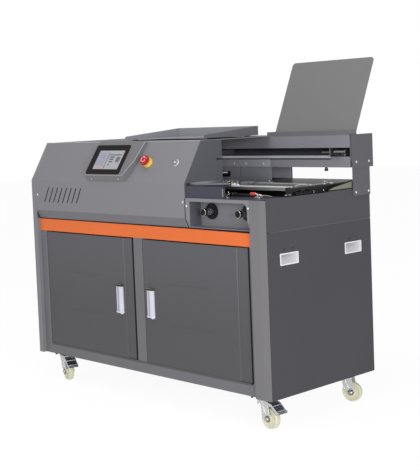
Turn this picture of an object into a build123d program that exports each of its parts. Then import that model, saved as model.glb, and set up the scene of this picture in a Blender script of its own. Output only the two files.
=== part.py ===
from build123d import *
import math
import os

# Thermal (hot-melt) binding machine on a two-door cabinet with four casters.
# Every shape is drawn in machine coordinates: x from the left face, y from the
# front face to the rear, z up from the floor. The finished set is moved once,
# so that the origin is the bottom centre of the overall box.

os.makedirs("parts", exist_ok=True)

# driving sizes of the cabinet and the housing
LENGTH = 1340.0
DEPTH = 580.0
REAR_BULGE = 18.0
BASE_Z = 112.0
SIDE_TOP = 805.0
SLANT_RISE = 154.0
SLANT_RUN = 91.4
NIP_BAY = 390.0

# sheet metal and fits
SHEET = 2.0
FRAME_T = 3.0
DECK_T = 3.0
TABLE_T = 4.0
SEAT = 0.1
GAP = 0.3
RUN = 0.05
SCREW_R = 5.0

# front face of the cabinet
RECESS = 16.0
RAIL = 40.0
FLANGE = 28.0
PILLAR_W = 72.0
PILLAR_BACK = 24.0
CORNER_W = 27.0
CORNER_CUT = 4.6
SEAM_DROP = 115.0
STRIP_H = 53.7
STRIP_BACK = 20.0

# doors
POST_INNER = 70.0
RIGHT_POST = 24.0
MULLION = 54.0
DOOR_GAP = 5.0
DOOR_T = 18.0
DOOR_SKIN = 1.5
DOOR_BAND = 54.0
DOOR_LIP = 14.0
PIVOT_IN = 10.0
PIVOT_R = 3.5
HANDLE_W = 40.0
HANDLE_H = 110.0

# book line: the clamp closes on the book from the front of this plane
BOOK_Y = 262.0
BOOK_GAP = 42.0
CLAMP_MOVE = 38.0
PLATE_T = 20.0
CLAMP_LEN = 360.0
SHAFT_R = 12.5
ROD_R = 8.0

# casters
CASTER_LEFT = 110.0
CASTER_FRONT = 53.0
CASTER_TRAIL = 30.0
CASTER_PLATE = 46.0
WHEEL_R = 37.5
AXLE_R = 5.0
FORK_IN = 15.5
FORK_T = 2.5
PEDAL_X = 27.0

# heights that follow the cabinet
FLOOR_TOP = BASE_Z + RAIL
SIDE_SPLIT = SIDE_TOP - SEAM_DROP
FRONT_TOP = SIDE_TOP - 4.0
STRIP_TOP = SIDE_TOP - 113.3
STRIP_LOW = STRIP_TOP - STRIP_H
LOWER_EDGE = STRIP_TOP + 34.3
DECK_Z = SIDE_TOP - 105.0
TABLE_Z = SIDE_TOP + 29.0
STEP_Z = TABLE_Z - 14.0
KNEE_Z = SIDE_TOP + 47.0
GUARD_TOP = KNEE_Z - 7.0
TOP_Z = KNEE_Z + SLANT_RISE
DOOR_LOW = FLOOR_TOP + 6.0
DOOR_TOP = STRIP_LOW - 5.0
HANDLE_Z = (DOOR_LOW + DOOR_TOP) / 2 - 5.0
BEAM_TOP = TOP_Z - 2.5
SLOT_TOP = TOP_Z - 48.0
SLOT_LOW = TOP_Z - 81.0
SHAFT_Z = SLOT_TOP + 20.0
ARM_Z = SLOT_LOW + 16.0
BEAM_LOW = SLOT_LOW - 40.0
CLAMP_LOW = TABLE_Z + 28.0
CLAMP_HIGH = TOP_Z - 21.0

# places along the length
LEFT = FLANGE + GAP
RIGHT = LENGTH - SHEET - GAP
HOUSING_END = LENGTH - NIP_BAY
PILLAR_X = LENGTH - PILLAR_W
PILLAR_EDGE = PILLAR_X - GAP
RIGHT_POST_X = PILLAR_X - RIGHT_POST
OPENING = (RIGHT_POST_X - POST_INNER - MULLION) / 2
DOOR_W = OPENING - 2 * DOOR_GAP
MULLION_X = POST_INNER + OPENING
LEFT_DOOR_X = POST_INNER + DOOR_GAP - 1.0
RIGHT_DOOR_X = MULLION_X + MULLION + DOOR_GAP - 2.0
PIVOTS = (LEFT_DOOR_X + PIVOT_IN, RIGHT_DOOR_X + DOOR_W - PIVOT_IN)
POSTS = ((LEFT, POST_INNER), (MULLION_X, MULLION_X + MULLION), (RIGHT_POST_X, PILLAR_EDGE))
CLAMP_X = HOUSING_END - 340.0
MILL_X = HOUSING_END - 70.0

# places in the depth
REAR = DEPTH + REAR_BULGE
FRAME_REAR = DEPTH - SHEET - GAP
BEHIND = RECESS + DOOR_T + 4.0
DECK_FRONT = 66.0
SIDE_FRONT = CORNER_CUT + SHEET + 0.4
PIVOT_Y = RECESS + DOOR_T / 2
CLAMP_FACE = BOOK_Y - BOOK_GAP
MILL_Y = BOOK_Y - BOOK_GAP / 2
WALL_REAR = CLAMP_FACE - PLATE_T - 2.0
BEAM_Y = DEPTH - 110.0
BEAM_REAR = REAR - 4.0
SHAFT_Y = BEAM_Y + 62.0

# slanted control panel: a place on it is x, a distance up the slope, a height off it
SLANT_LEN = math.hypot(SLANT_RUN, SLANT_RISE)
SLANT_UP = Vector(0, SLANT_RUN / SLANT_LEN, SLANT_RISE / SLANT_LEN)
SLANT_OUT = Vector(0, -SLANT_UP.Z, SLANT_UP.Y)
SLANT = Plane(origin=(0, 0, KNEE_Z), x_dir=(1, 0, 0), z_dir=SLANT_OUT)

PARTS = {}


def block(x0, x1, y0, y1, z0, z1):
    size = Box(x1 - x0, y1 - y0, z1 - z0)
    return Pos((x0 + x1) / 2, (y0 + y1) / 2, (z0 + z1) / 2) * size


def rod_x(x0, x1, y, z, r):
    plane = Plane(origin=(x0, y, z), x_dir=(0, 1, 0), z_dir=(1, 0, 0))
    return extrude(plane * Circle(r), x1 - x0)


def rod_y(y0, y1, x, z, r):
    plane = Plane(origin=(x, y0, z), x_dir=(1, 0, 0), z_dir=(0, 1, 0))
    return extrude(plane * Circle(r), y1 - y0)


def rod_z(z0, z1, x, y, r):
    return extrude(Pos(x, y, z0) * Circle(r), z1 - z0)


def hex_x(x0, x1, y, z, r):
    plane = Plane(origin=(x0, y, z), x_dir=(0, 1, 0), z_dir=(1, 0, 0))
    return extrude(plane * RegularPolygon(r, 6), x1 - x0)


def hex_y(y0, y1, x, z, r):
    plane = Plane(origin=(x, y0, z), x_dir=(1, 0, 0), z_dir=(0, 1, 0))
    return extrude(plane * RegularPolygon(r, 6), y1 - y0)


def hex_z(z0, z1, x, y, r):
    return extrude(Pos(x, y, z0) * RegularPolygon(r, 6), z1 - z0)


def outline(points):
    return make_face(Polyline(*points, close=True))


def prism_x(points, x0, x1):
    """Extrudes a (y, z) outline along x."""
    plane = Plane(origin=(x0, 0, 0), x_dir=(0, 1, 0), z_dir=(1, 0, 0))
    return extrude(plane * outline(points), x1 - x0)


def prism_y(points, y0, y1):
    """Extrudes an (x, z) outline along y."""
    plane = Plane(origin=(0, y0, 0), x_dir=(1, 0, 0), z_dir=(0, -1, 0))
    return extrude(plane * outline(points), -(y1 - y0))


def prism_z(points, z0, z1):
    """Extrudes an (x, y) outline along z."""
    return extrude(Plane.XY.offset(z0) * outline(points), z1 - z0)


def shifted(points, distance):
    """Moves an open polyline sideways by a distance, with mitred corners."""
    out = []
    normals = []
    for (a, b), (c, d) in zip(points, points[1:]):
        length = math.hypot(c - a, d - b)
        normals.append((-(d - b) / length, (c - a) / length))
    for i, (a, b) in enumerate(points):
        before = normals[max(i - 1, 0)]
        after = normals[min(i, len(normals) - 1)]
        scale = distance / (1 + before[0] * after[0] + before[1] * after[1])
        out.append((a + (before[0] + after[0]) * scale, b + (before[1] + after[1]) * scale))
    return out


def bent(points, thickness):
    """Outline of a bent sheet: its outer line and the offset of it to the right."""
    return points + shifted(points, -thickness)[::-1]


def clipped(width, height, corner):
    """Outline of a centred rectangle with its corners cut off."""
    x, y, c = width / 2, height / 2, corner
    return outline([
        (x - c, y), (x, y - c), (x, c - y), (x - c, -y),
        (c - x, -y), (-x, c - y), (-x, y - c), (c - x, y),
    ])


def group(shapes):
    """Identical pieces that share one node, as separate solids."""
    solids = []
    for shape in shapes:
        solids.extend(shape.solids())
    return Compound(children=solids)


# ---------------------------------------------------------------- cabinet
def frame_bottom():
    """Pan with skirts all round, folded lips and a channel over each pair of casters."""
    t = FRAME_T
    channel = CASTER_LEFT + 44.0
    lip = 25.0
    pan = block(LEFT, RIGHT, RECESS, FRAME_REAR, FLOOR_TOP - t, FLOOR_TOP)
    pan += block(LEFT, RIGHT, RECESS, RECESS + t, BASE_Z, FLOOR_TOP)
    pan += block(LEFT, RIGHT, FRAME_REAR - t, FRAME_REAR, BASE_Z, FLOOR_TOP)
    pan += block(LEFT, RIGHT, RECESS, RECESS + lip, BASE_Z, BASE_Z + t)
    pan += block(LEFT, RIGHT, FRAME_REAR - lip, FRAME_REAR, BASE_Z, BASE_Z + t)
    for outer, inner in ((LEFT, channel), (RIGHT, LENGTH - channel)):
        x0, x1 = min(outer, inner), max(outer, inner)
        pan += block(x0, x1, RECESS, FRAME_REAR, BASE_Z, BASE_Z + t)
        for x in (x0, x1 - t):
            pan += block(x, x + t, RECESS, FRAME_REAR, BASE_Z, FLOOR_TOP)
    for x in PIVOTS:
        pan -= rod_z(BASE_Z - 1, FLOOR_TOP + 1, x, PIVOT_Y, PIVOT_R + GAP)
    return pan


def frame_posts():
    """Folded channels at the front, angles at the rear and behind the corner pillar."""
    t = FRAME_T
    low = FLOOR_TOP - t
    high = STRIP_TOP - 1.0
    posts = []
    for x0, x1 in POSTS:
        post = block(x0, x1, RECESS, RECESS + t, low, STRIP_LOW - GAP)
        for x in (x0, x1 - t):
            post += block(x, x + t, RECESS, RECESS + RAIL, low, STRIP_LOW - GAP)
            post += block(x, x + t, BEHIND, RECESS + RAIL, low, high)
        posts.append(post)
    front = PILLAR_BACK + GAP
    for x0, x1, y0, y1, edge in (
        (LEFT, LEFT + RAIL, FRAME_REAR - t, FRAME_REAR, LEFT),
        (RIGHT - RAIL, RIGHT, FRAME_REAR - t, FRAME_REAR, RIGHT - t),
        (RIGHT - RAIL, RIGHT, front, front + t, RIGHT - t),
    ):
        side = (front, front + RAIL) if y0 == front else (FRAME_REAR - RAIL, FRAME_REAR)
        top = high if y0 == front else DECK_Z
        posts.append(block(x0, x1, y0, y1, low, top) + block(edge, edge + t, *side, low, top))
    return posts


def frame_rails():
    """Header behind the coloured strip and the angle rails that carry the deck."""
    t = FRAME_T
    high = STRIP_TOP - 1.0
    low = DECK_Z - RAIL
    head = STRIP_LOW + 8.0
    rails = [
        block(LEFT, PILLAR_EDGE, BEHIND, BEHIND + t, head, high),
        block(LEFT, PILLAR_EDGE, BEHIND, RECESS + RAIL, high - t, high),
        block(LEFT, RIGHT, FRAME_REAR - t, FRAME_REAR, low, DECK_Z),
        block(LEFT, RIGHT, FRAME_REAR - RAIL, FRAME_REAR, DECK_Z - t, DECK_Z),
        block(LEFT, RIGHT, DECK_FRONT, DECK_FRONT + t, low, DECK_Z),
        block(LEFT, RIGHT, DECK_FRONT, DECK_FRONT + RAIL, DECK_Z - t, DECK_Z),
    ]
    for x in (LEFT, MULLION_X, RIGHT - t):
        rails.append(block(x, x + t, BEHIND, FRAME_REAR, low, high))
        rails.append(block(x, x + t, DECK_FRONT, FRAME_REAR, low, DECK_Z))
    return rails


def make_base_frame():
    frame = frame_bottom()
    for piece in frame_posts() + frame_rails():
        frame += piece
    return frame - block(PILLAR_EDGE, LENGTH, RECESS - 1, PILLAR_BACK + GAP, BASE_Z - 1, DECK_Z)


def make_deck():
    return block(LEFT, RIGHT, DECK_FRONT, FRAME_REAR, DECK_Z + SEAT, DECK_Z + DECK_T)


def side_profile(inset):
    """Outline (y, z) of the left side, moved inwards by an inset."""
    return [
        (inset, BASE_Z + inset),
        (DEPTH - inset, BASE_Z + inset),
        (DEPTH - inset, STEP_Z + inset),
        (REAR - inset, STEP_Z + inset),
        (REAR - inset, TOP_Z - inset),
        (SLANT_RUN + inset * 0.57, TOP_Z - inset),
        (inset, KNEE_Z - inset * 0.57),
    ]


def make_left_side_panel():
    panel = prism_x(side_profile(0), 0, FLANGE)
    panel -= prism_x(side_profile(SHEET), SHEET, FLANGE + 1)
    # the lower part of the front flange is folded back once more
    return panel + block(FLANGE - SHEET, FLANGE, 0, 30, BASE_Z, LOWER_EDGE - 36)


def make_right_side_panel():
    x0 = LENGTH - SHEET
    panel = block(x0, LENGTH, SIDE_FRONT, DEPTH, BASE_Z, SIDE_SPLIT - 1.5)
    for y in PULL_Y:
        panel -= block(x0 - 1, LENGTH + 1, y - 44, y + 44, PULL_Z - 17, PULL_Z + 17)
    return panel


def make_right_upper_panel():
    x0 = LENGTH - SHEET
    upper = block(x0, LENGTH, SIDE_FRONT, DEPTH, SIDE_SPLIT + 1.5, SIDE_TOP)
    return upper + block(x0 - 12, LENGTH, 34, DEPTH - 4, SIDE_TOP - SHEET, SIDE_TOP)


def make_right_pillar():
    corner = LENGTH - CORNER_W
    line = [(PILLAR_X, PILLAR_BACK), (PILLAR_X, 0), (corner, 0), (LENGTH - 0.2, CORNER_CUT)]
    pillar = prism_z(bent(line, -SHEET), BASE_Z, FRONT_TOP)
    return pillar + block(PILLAR_X, corner, 0, PILLAR_BACK, FRONT_TOP - SHEET, FRONT_TOP)


def make_rear_panel():
    y0 = DEPTH - SHEET
    vent_w = 150.0
    panel = block(LEFT, RIGHT, y0, DEPTH, BASE_Z, TABLE_Z - GAP)
    for row in range(6):
        z = DECK_Z - 280 + row * 22
        for x in (MULLION_X, RIGHT_POST_X - 2 * vent_w):
            panel -= block(x, x + vent_w, y0 - 1, DEPTH + 1, z, z + 7)
    return panel - block(INLET_X - 26, INLET_X + 26, y0 - 1, DEPTH + 1, INLET_Z - 16, INLET_Z + 16)


def make_front_beam():
    beam = block(LEFT, PILLAR_EDGE, RECESS, RECESS + STRIP_BACK, STRIP_LOW, STRIP_TOP)
    inside = (RECESS + SHEET, RECESS + STRIP_BACK + 1, STRIP_LOW + SHEET, STRIP_TOP - SHEET)
    beam -= block(LEFT - 1, PILLAR_X, *inside)
    for x in PIVOTS:
        beam -= rod_z(STRIP_LOW - 1, STRIP_LOW + 4, x, PIVOT_Y, PIVOT_R + GAP)
    return beam


# ------------------------------------------------------------------ doors
def make_door(x0, pivot):
    """Folded pan with a band set back along its right edge and two pressed beads."""
    x1 = x0 + DOOR_W
    front = RECESS
    back = RECESS + DOOR_T
    band = x1 - DOOR_BAND
    step = 3.0
    line = [(x0, back), (x0, front), (band, front), (band + step, front + step), (x1, front + step), (x1, back)]
    door = prism_z(bent(line, -DOOR_SKIN), DOOR_LOW, DOOR_TOP)
    for z in (DOOR_LOW, DOOR_TOP - DOOR_SKIN):
        door += prism_z(line, z, z + DOOR_SKIN)
    for x in (x0, x1 - DOOR_LIP):
        door += block(x, x + DOOR_LIP, back - DOOR_SKIN, back, DOOR_LOW, DOOR_TOP)
    middle = (DOOR_LOW + DOOR_TOP) / 2
    bead_x = (x0 + DOOR_W * 0.27, x0 + DOOR_W * 0.64)
    for z in (middle - 77, middle + 77):
        door += block(*bead_x, front - 0.8, front + 0.5, z - 1.4, z + 1.4)
    for z in (DOOR_LOW, DOOR_TOP - 3):
        door -= rod_z(z - 1, z + 4, pivot, PIVOT_Y, PIVOT_R + RUN)
    return door


def make_handle(x):
    """Extruded pull with a narrow strip, a groove and a wide grip, between two end caps."""
    back = RECESS - SEAT
    half = HANDLE_W / 2
    section = [
        (-half, 0), (half, 0), (half, 3), (half - 6, 3.5), (half - 8, 9), (half - 11, 10.5),
        (-5, 10.5), (-8, 8), (-9, 3), (-13, 3), (-14, 6), (-half + 3, 6), (-half, 3),
    ]
    cap = [(-half - 1, 0), (half + 1, 0), (half + 1, 4), (half - 8, 11.5), (-6, 11.5), (-half - 1, 7)]
    low, high = HANDLE_Z - HANDLE_H / 2, HANDLE_Z + HANDLE_H / 2
    handle = prism_z([(x + a, back - b) for a, b in section], low, high)
    for z in (low, high - 5):
        handle += prism_z([(x + a, back - b) for a, b in cap], z, z + 5)
    return handle


def make_pivot_pins():
    pins = []
    washer = PIVOT_R + 2.5
    nut = PIVOT_R + 1.0
    for x in PIVOTS:
        low = rod_z(BASE_Z - 6, DOOR_LOW + 6, x, PIVOT_Y, PIVOT_R)
        low += hex_z(BASE_Z - 7, BASE_Z - SEAT, x, PIVOT_Y, nut)
        low += hex_z(FLOOR_TOP + SEAT, DOOR_LOW - GAP, x, PIVOT_Y, washer)
        top = rod_z(DOOR_TOP - 6, STRIP_LOW + 8, x, PIVOT_Y, PIVOT_R)
        top += hex_z(DOOR_TOP + GAP, STRIP_LOW - SEAT, x, PIVOT_Y, washer)
        pins += [low, top]
    return group(pins)


# --------------------------------------------------------- upper housing
VENTS = 8
VENT_STEP = 31.0
VENT_LEAN = 34.0
SCREEN_X = HOUSING_END - 458.0
SCREEN_S = 88.5
SCREEN_W = 176.0
SCREEN_H = 104.0
HOOD_LEFT = -104.0
HOOD_RIGHT = (122.0, 157.0, 171.0)
HOOD_FOOT = 4.0
HOOD_HEAD = 172.0
HOOD_LOW = 26.5
HOOD_HIGH = 15.5
ESTOP_X = HOUSING_END - 239.0
ESTOP_S = 85.0
ESTOP_R = 20.0
ESTOP_STEM_R = 6.0
ESTOP_BODY = 13.0
ESTOP_CAP = 19.0
POWER_X = HOUSING_END - 85.0
POWER_S = 86.0


def on_slant(x, s, h):
    return SLANT.from_local_coords((x, s, h))


def slant_rod(x, s, r, h0, h1):
    plane = Plane(origin=on_slant(x, s, h0), x_dir=(1, 0, 0), z_dir=SLANT_OUT)
    return extrude(plane * Circle(r), h1 - h0)


def screen_window():
    return SLANT * (Pos(SCREEN_X, SCREEN_S) * Rectangle(SCREEN_W, SCREEN_H))


def make_housing_cover():
    """One bent sheet from the coloured strip over the slanted panel to the rear."""
    line = [
        (RECESS, STRIP_TOP + GAP),
        (0, LOWER_EDGE),
        (0, KNEE_Z),
        (SLANT_RUN, TOP_Z),
        (REAR, TOP_Z),
        (REAR, STEP_Z),
        (DEPTH + 2, STEP_Z),
    ]
    cover = prism_x(bent(line, SHEET), FLANGE + 0.5, HOUSING_END - 0.5)
    low, high = KNEE_Z - 91, KNEE_Z - 28
    for i in range(VENTS):
        x = 88 + i * VENT_STEP
        slot = [(x - 3, low), (x + 3, low), (x + VENT_LEAN + 3, high), (x + VENT_LEAN - 3, high)]
        cover -= prism_y(slot, -1, SHEET + 1)
    cover -= extrude(screen_window(), 12, both=True)
    cover -= slant_rod(ESTOP_X, ESTOP_S, 11.3, -12, 12)
    return cover - slant_rod(POWER_X, POWER_S, 9.3, -12, 12)


def make_end_wall():
    x0 = HOUSING_END - 0.2
    edge = 0.3
    low = DECK_Z + DECK_T + SEAT
    wall = [
        (34, low),
        (34, FRONT_TOP + GAP),
        (edge, FRONT_TOP + GAP),
        (edge, KNEE_Z),
        (SLANT_RUN + edge, TOP_Z - 1),
        (WALL_REAR, TOP_Z - 1),
        (WALL_REAR, low),
    ]
    panel = prism_x(wall[::-1], x0, x0 + SHEET)
    slit = (WALL_REAR - 30, WALL_REAR + 1, SLOT_LOW + 5, SLOT_LOW + 10.5)
    return panel - block(x0 - 1, x0 + SHEET + 1, *slit)


def make_inner_wall():
    """Wall behind the book line, with the hole and the slit of the carriage drive."""
    y0 = BEAM_Y + 4
    low = DECK_Z + DECK_T + SEAT
    x0, x1 = FLANGE + 4, HOUSING_END - 2
    wall = block(x0, x1, y0, y0 + SHEET, low, BEAM_LOW - SEAT)
    wall += block(x0, x1, y0, y0 + 22, low, low + SHEET)
    hole_x = HOUSING_END - 274
    wall -= block(hole_x, hole_x + 48, y0 - 1, y0 + SHEET + 1, TABLE_Z + 9, TABLE_Z + 33)
    slit_x = HOUSING_END - 171
    return wall - block(slit_x, slit_x + 4, y0 - 1, y0 + SHEET + 1, TABLE_Z + 6, BEAM_LOW)


def make_milling_guard():
    """Low hood beside the end wall and the dark tray that runs on under the nip table."""
    x0 = HOUSING_END + SHEET + GAP
    x1 = x0 + 188.0
    y0 = 6.0
    y1 = WALL_REAR - 10
    low = FRONT_TOP + SEAT
    line = [(y0, low), (y0, GUARD_TOP - 4), (y0 + 4, GUARD_TOP), (y1, GUARD_TOP)]
    guard = prism_x(bent(line, SHEET), x0, x1)
    corner = [(x1 + 1, y0 + 28), (x0 + 42, y1 + 1), (x1 + 1, y1 + 1)]
    guard -= prism_z(corner, GUARD_TOP - 10, GUARD_TOP + 1)
    guard += block(x1 - SHEET, x1, y0 + 1, y0 + 12, low, GUARD_TOP - 5)
    guard += block(x0, x0 + SHEET, y0 + 1, y1, low, GUARD_TOP - 1)
    return guard + block(x0, LENGTH - 16, y0, JAW_FRONT - 4, low, low + SHEET)


def hood_volume(inset):
    """Hood standing off the slanted panel; its top falls away up the slope, its foot leans."""
    corners = [
        (SCREEN_X + HOOD_LEFT, HOOD_FOOT),
        (SCREEN_X + HOOD_RIGHT[0], HOOD_FOOT),
        (SCREEN_X + HOOD_RIGHT[1], 80),
        (SCREEN_X + HOOD_RIGHT[2], HOOD_HEAD),
        (SCREEN_X + HOOD_LEFT, HOOD_HEAD),
    ]
    solid = extrude(SLANT * offset(outline(corners), -inset, kind=Kind.INTERSECTION), 45)
    slope = (HOOD_HIGH - HOOD_LOW) / (HOOD_HEAD - HOOD_FOOT)
    below, above = -30 - HOOD_FOOT, 210 - HOOD_FOOT
    top = [
        (HOOD_FOOT + below, HOOD_LOW - inset + below * slope),
        (HOOD_FOOT + above, HOOD_LOW - inset + above * slope),
        (HOOD_FOOT + above, 70),
        (HOOD_FOOT + below, 70),
    ]
    lean = [(-40, -5), (1.5 + inset, -5), (19 + inset, 29), (19 + inset, 60), (-40, 60)]
    side = Plane(origin=SLANT.origin, x_dir=SLANT_UP, z_dir=(1, 0, 0))
    for cut in (top, lean):
        solid -= extrude(side * outline(cut), LENGTH)
    return solid


def make_screen_hood():
    return hood_volume(0) - hood_volume(SHEET) - extrude(screen_window(), 60)


SCREEN_TILT = math.atan2(HOOD_LOW - HOOD_HIGH, HOOD_HEAD - HOOD_FOOT)
SCREEN_UP = SLANT_UP * math.cos(SCREEN_TILT) - SLANT_OUT * math.sin(SCREEN_TILT)
SCREEN_OUT = SLANT_OUT * math.cos(SCREEN_TILT) + SLANT_UP * math.sin(SCREEN_TILT)


def screen_plane(x, up, out):
    origin = on_slant(x, HOOD_FOOT, HOOD_LOW) + SCREEN_UP * up + SCREEN_OUT * out
    return Plane(origin=origin, x_dir=(1, 0, 0), z_dir=SCREEN_OUT)


def make_touch_screen():
    """Panel-mount touch screen: bezel with a bevelled rim, sunk glass and the case behind."""
    bezel = extrude(screen_plane(SCREEN_X, 83.5, SEAT) * clipped(202, 131, 4), 6)
    bezel = chamfer(bezel.faces().sort_by(Axis(origin=(0, 0, 0), direction=SCREEN_OUT))[-1].edges(), 2)
    glass = extrude(screen_plane(SCREEN_X + 9.5, 80, 5.4) * Rectangle(154, 87), 2)
    case = extrude(screen_plane(SCREEN_X, 84, 0.5) * Rectangle(SCREEN_W - 8, SCREEN_H - 8), -28)
    return bezel + case - glass


def make_estop_body():
    body = slant_rod(ESTOP_X, ESTOP_S, ESTOP_R, SEAT, ESTOP_BODY)
    body += slant_rod(ESTOP_X, ESTOP_S, 11, -36, 1)
    nut = Plane(origin=on_slant(ESTOP_X, ESTOP_S, -SHEET - SEAT), x_dir=(1, 0, 0), z_dir=SLANT_OUT)
    body += extrude(nut * RegularPolygon(16, 6), -8)
    return body - slant_rod(ESTOP_X, ESTOP_S, ESTOP_STEM_R + RUN, -30, 20)


def make_estop_stem():
    return slant_rod(ESTOP_X, ESTOP_S, ESTOP_STEM_R, -18, ESTOP_CAP + 5)


def make_estop_cap():
    cap = slant_rod(ESTOP_X, ESTOP_S, ESTOP_R, ESTOP_CAP, ESTOP_CAP + 12)
    rims = cap.edges().filter_by(GeomType.CIRCLE)
    outer = rims.sort_by(Axis(origin=(0, 0, 0), direction=SLANT_OUT))[-1:]
    return chamfer(outer, 4) - slant_rod(ESTOP_X, ESTOP_S, ESTOP_STEM_R + RUN, ESTOP_CAP - 4, ESTOP_CAP + 5.1)


def make_power_button():
    return slant_rod(POWER_X, POWER_S, 11, 3.5, 7) + slant_rod(POWER_X, POWER_S, 6, -16, 4)


# ------------------------------------------------------- dial pocket
POCKET_X0 = HOUSING_END + 23.0
POCKET_X1 = PILLAR_X - 10.0
POCKET_TOP = FRONT_TOP - 12.0
POCKET_Y = 60.0
POCKET_ROUND = 22.0
DIAL_LEFT = (POCKET_X0 + 59.0, FRONT_TOP - 50.0)
DIAL_RIGHT = (POCKET_X1 - 46.0, FRONT_TOP - 50.0)
DIAL_R = 29.0
KNOB_R = 14.5
KNOB_LEFT_Y = 9.0
KNOB_RIGHT_Y = 1.0
STEM_R = 6.0


def pocket_outline(grow):
    """Front view of the pocket: straight walls with its upper right corner rounded."""
    x0, x1 = POCKET_X0 - grow, POCKET_X1 + grow
    low, high = STRIP_TOP + GAP + 3 - grow, POCKET_TOP + grow
    r = POCKET_ROUND + grow
    edge = Polyline((x1, high - r), (x1, low), (x0, low), (x0, high), (x1 - r, high))
    return make_face(edge + RadiusArc((x1 - r, high), (x1, high - r), r))


def make_dial_panel():
    """Bent front sheet with the box of the dial pocket welded behind it."""
    x0 = HOUSING_END + 0.5
    x1 = PILLAR_X - 0.5
    low = STRIP_TOP + GAP
    line = [(RECESS, low), (0, LOWER_EDGE), (0, FRONT_TOP), (30, FRONT_TOP)]
    panel = prism_x(bent(line, SHEET), x0, x1)
    front = Plane(origin=(0, POCKET_Y + SHEET, 0), x_dir=(1, 0, 0), z_dir=(0, -1, 0))
    shell = extrude(front * pocket_outline(SHEET), POCKET_Y + SHEET - 1)
    room = extrude(front.offset(SHEET) * pocket_outline(0), POCKET_Y + 10)
    ahead = [(-20, low - 5), (RECESS, low), (0, LOWER_EDGE), (0, FRONT_TOP), (-20, FRONT_TOP)]
    shell -= prism_x(ahead[::-1], x0, x1)
    panel = panel + shell - room
    for x, z in (DIAL_LEFT, DIAL_RIGHT):
        panel -= rod_y(POCKET_Y - 5, POCKET_Y + 10, x, z, STEM_R + RUN)
    return panel


def ridged(x, z, radius, depth, ridges):
    """Outline (x, z) of a knurled rim: two points on every ridge, two in every groove."""
    points = []
    for i in range(4 * ridges):
        r = radius if i % 4 < 2 else radius - depth
        a = math.tau * (i + 0.5) / (4 * ridges)
        points.append((x + r * math.cos(a), z + r * math.sin(a)))
    return points


def make_dial(centre, knob_y):
    """Notched scale disc, stem and lobed knob, turned as one by hand."""
    x, z = centre
    dial = prism_y(ridged(x, z, DIAL_R, 1.6, 16), POCKET_Y - 9, POCKET_Y - 2)
    dial += rod_y(knob_y + 8, POCKET_Y + 30, x, z, STEM_R)
    dial += prism_y(ridged(x, z, KNOB_R, 1.2, 8), knob_y + 2, knob_y + 12)
    return dial + rod_y(knob_y, knob_y + 3, x, z, KNOB_R - 2)


# ------------------------------------------------------- rear beam, tower
def make_beam_cover():
    """Box beam across the rear, slotted at the front, with a bearing plate at each end."""
    x0 = SHEET + GAP
    x1 = LENGTH - 0.5
    t = SHEET
    beam = block(x0, x1, BEAM_Y, BEAM_REAR, BEAM_LOW, BEAM_TOP)
    beam -= block(x0 - 1, x1 + 1, BEAM_Y + t, BEAM_REAR - t, BEAM_LOW + t, BEAM_TOP - t)
    beam -= block(40, x1 + 1, BEAM_Y - 1, BEAM_Y + t + 1, SLOT_LOW, SLOT_TOP)
    for x in (x0, x1 - 12):
        web = block(x, x + 12, SHAFT_Y - 22, BEAM_REAR - t, SLOT_TOP - 12, BEAM_TOP - 1)
        beam += web - rod_x(x - 1, x + 13, SHAFT_Y, SHAFT_Z, SHAFT_R + RUN)
    return beam


def make_guide_shaft():
    return rod_x(SHEET + GAP + 1, LENGTH - 1, SHAFT_Y, SHAFT_Z, SHAFT_R)


def make_guide_strip():
    strip = block(60, LENGTH - 88, BEAM_Y - 4.5, BEAM_Y - SEAT, SLOT_LOW - 6, SLOT_LOW + 4)
    return chamfer(strip.edges().filter_by(Axis.X).group_by(Axis.Y)[0], 1)


def make_rail_stop():
    """End stop of the carriage: bracket in the slot, damper cylinder and its thin plunger."""
    x0 = LENGTH - 86
    x1 = LENGTH - 22
    stop = block(x0, x0 + 4, BEAM_Y - 12, BEAM_Y + 26, SLOT_LOW + 2, SLOT_TOP - 2)
    stop += block(x0, x1, BEAM_Y + 12, BEAM_Y + 26, SLOT_LOW + 2, SLOT_LOW + 8)
    stop += block(x1 - 6, x1, BEAM_Y + 2, BEAM_Y + 26, SLOT_LOW + 2, ARM_Z + 8)
    stop += rod_x(x0 - 42, x0 + 2, BEAM_Y - 2, ARM_Z, 3)
    return stop + rod_x(x0 + 11, x1, BEAM_Y + 6, ARM_Z, 7)


def make_tower_post():
    x0 = LENGTH + GAP
    y0, y1 = DEPTH - 100, DEPTH
    plate = block(x0, x0 + 3.6, y0, y1, SIDE_TOP - 25, SLOT_LOW - 20)
    return plate + block(LENGTH - 14, x0 + 1, y0 + 4, y1 - 4, SIDE_TOP + SEAT, SIDE_TOP + 6)


def make_tower_cap():
    x0 = LENGTH + 4
    y0 = DEPTH - 105
    cap = block(x0, x0 + 3, y0, REAR, BEAM_LOW - 2, TOP_Z)
    rim = block(LENGTH - 0.2, x0 + 1, y0, REAR, SLOT_LOW - 18, TOP_Z)
    return cap + rim - block(LENGTH - 1, x0, y0 + 3, BEAM_REAR + 1.5, SLOT_LOW - 19, TOP_Z - 2.3)


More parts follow.
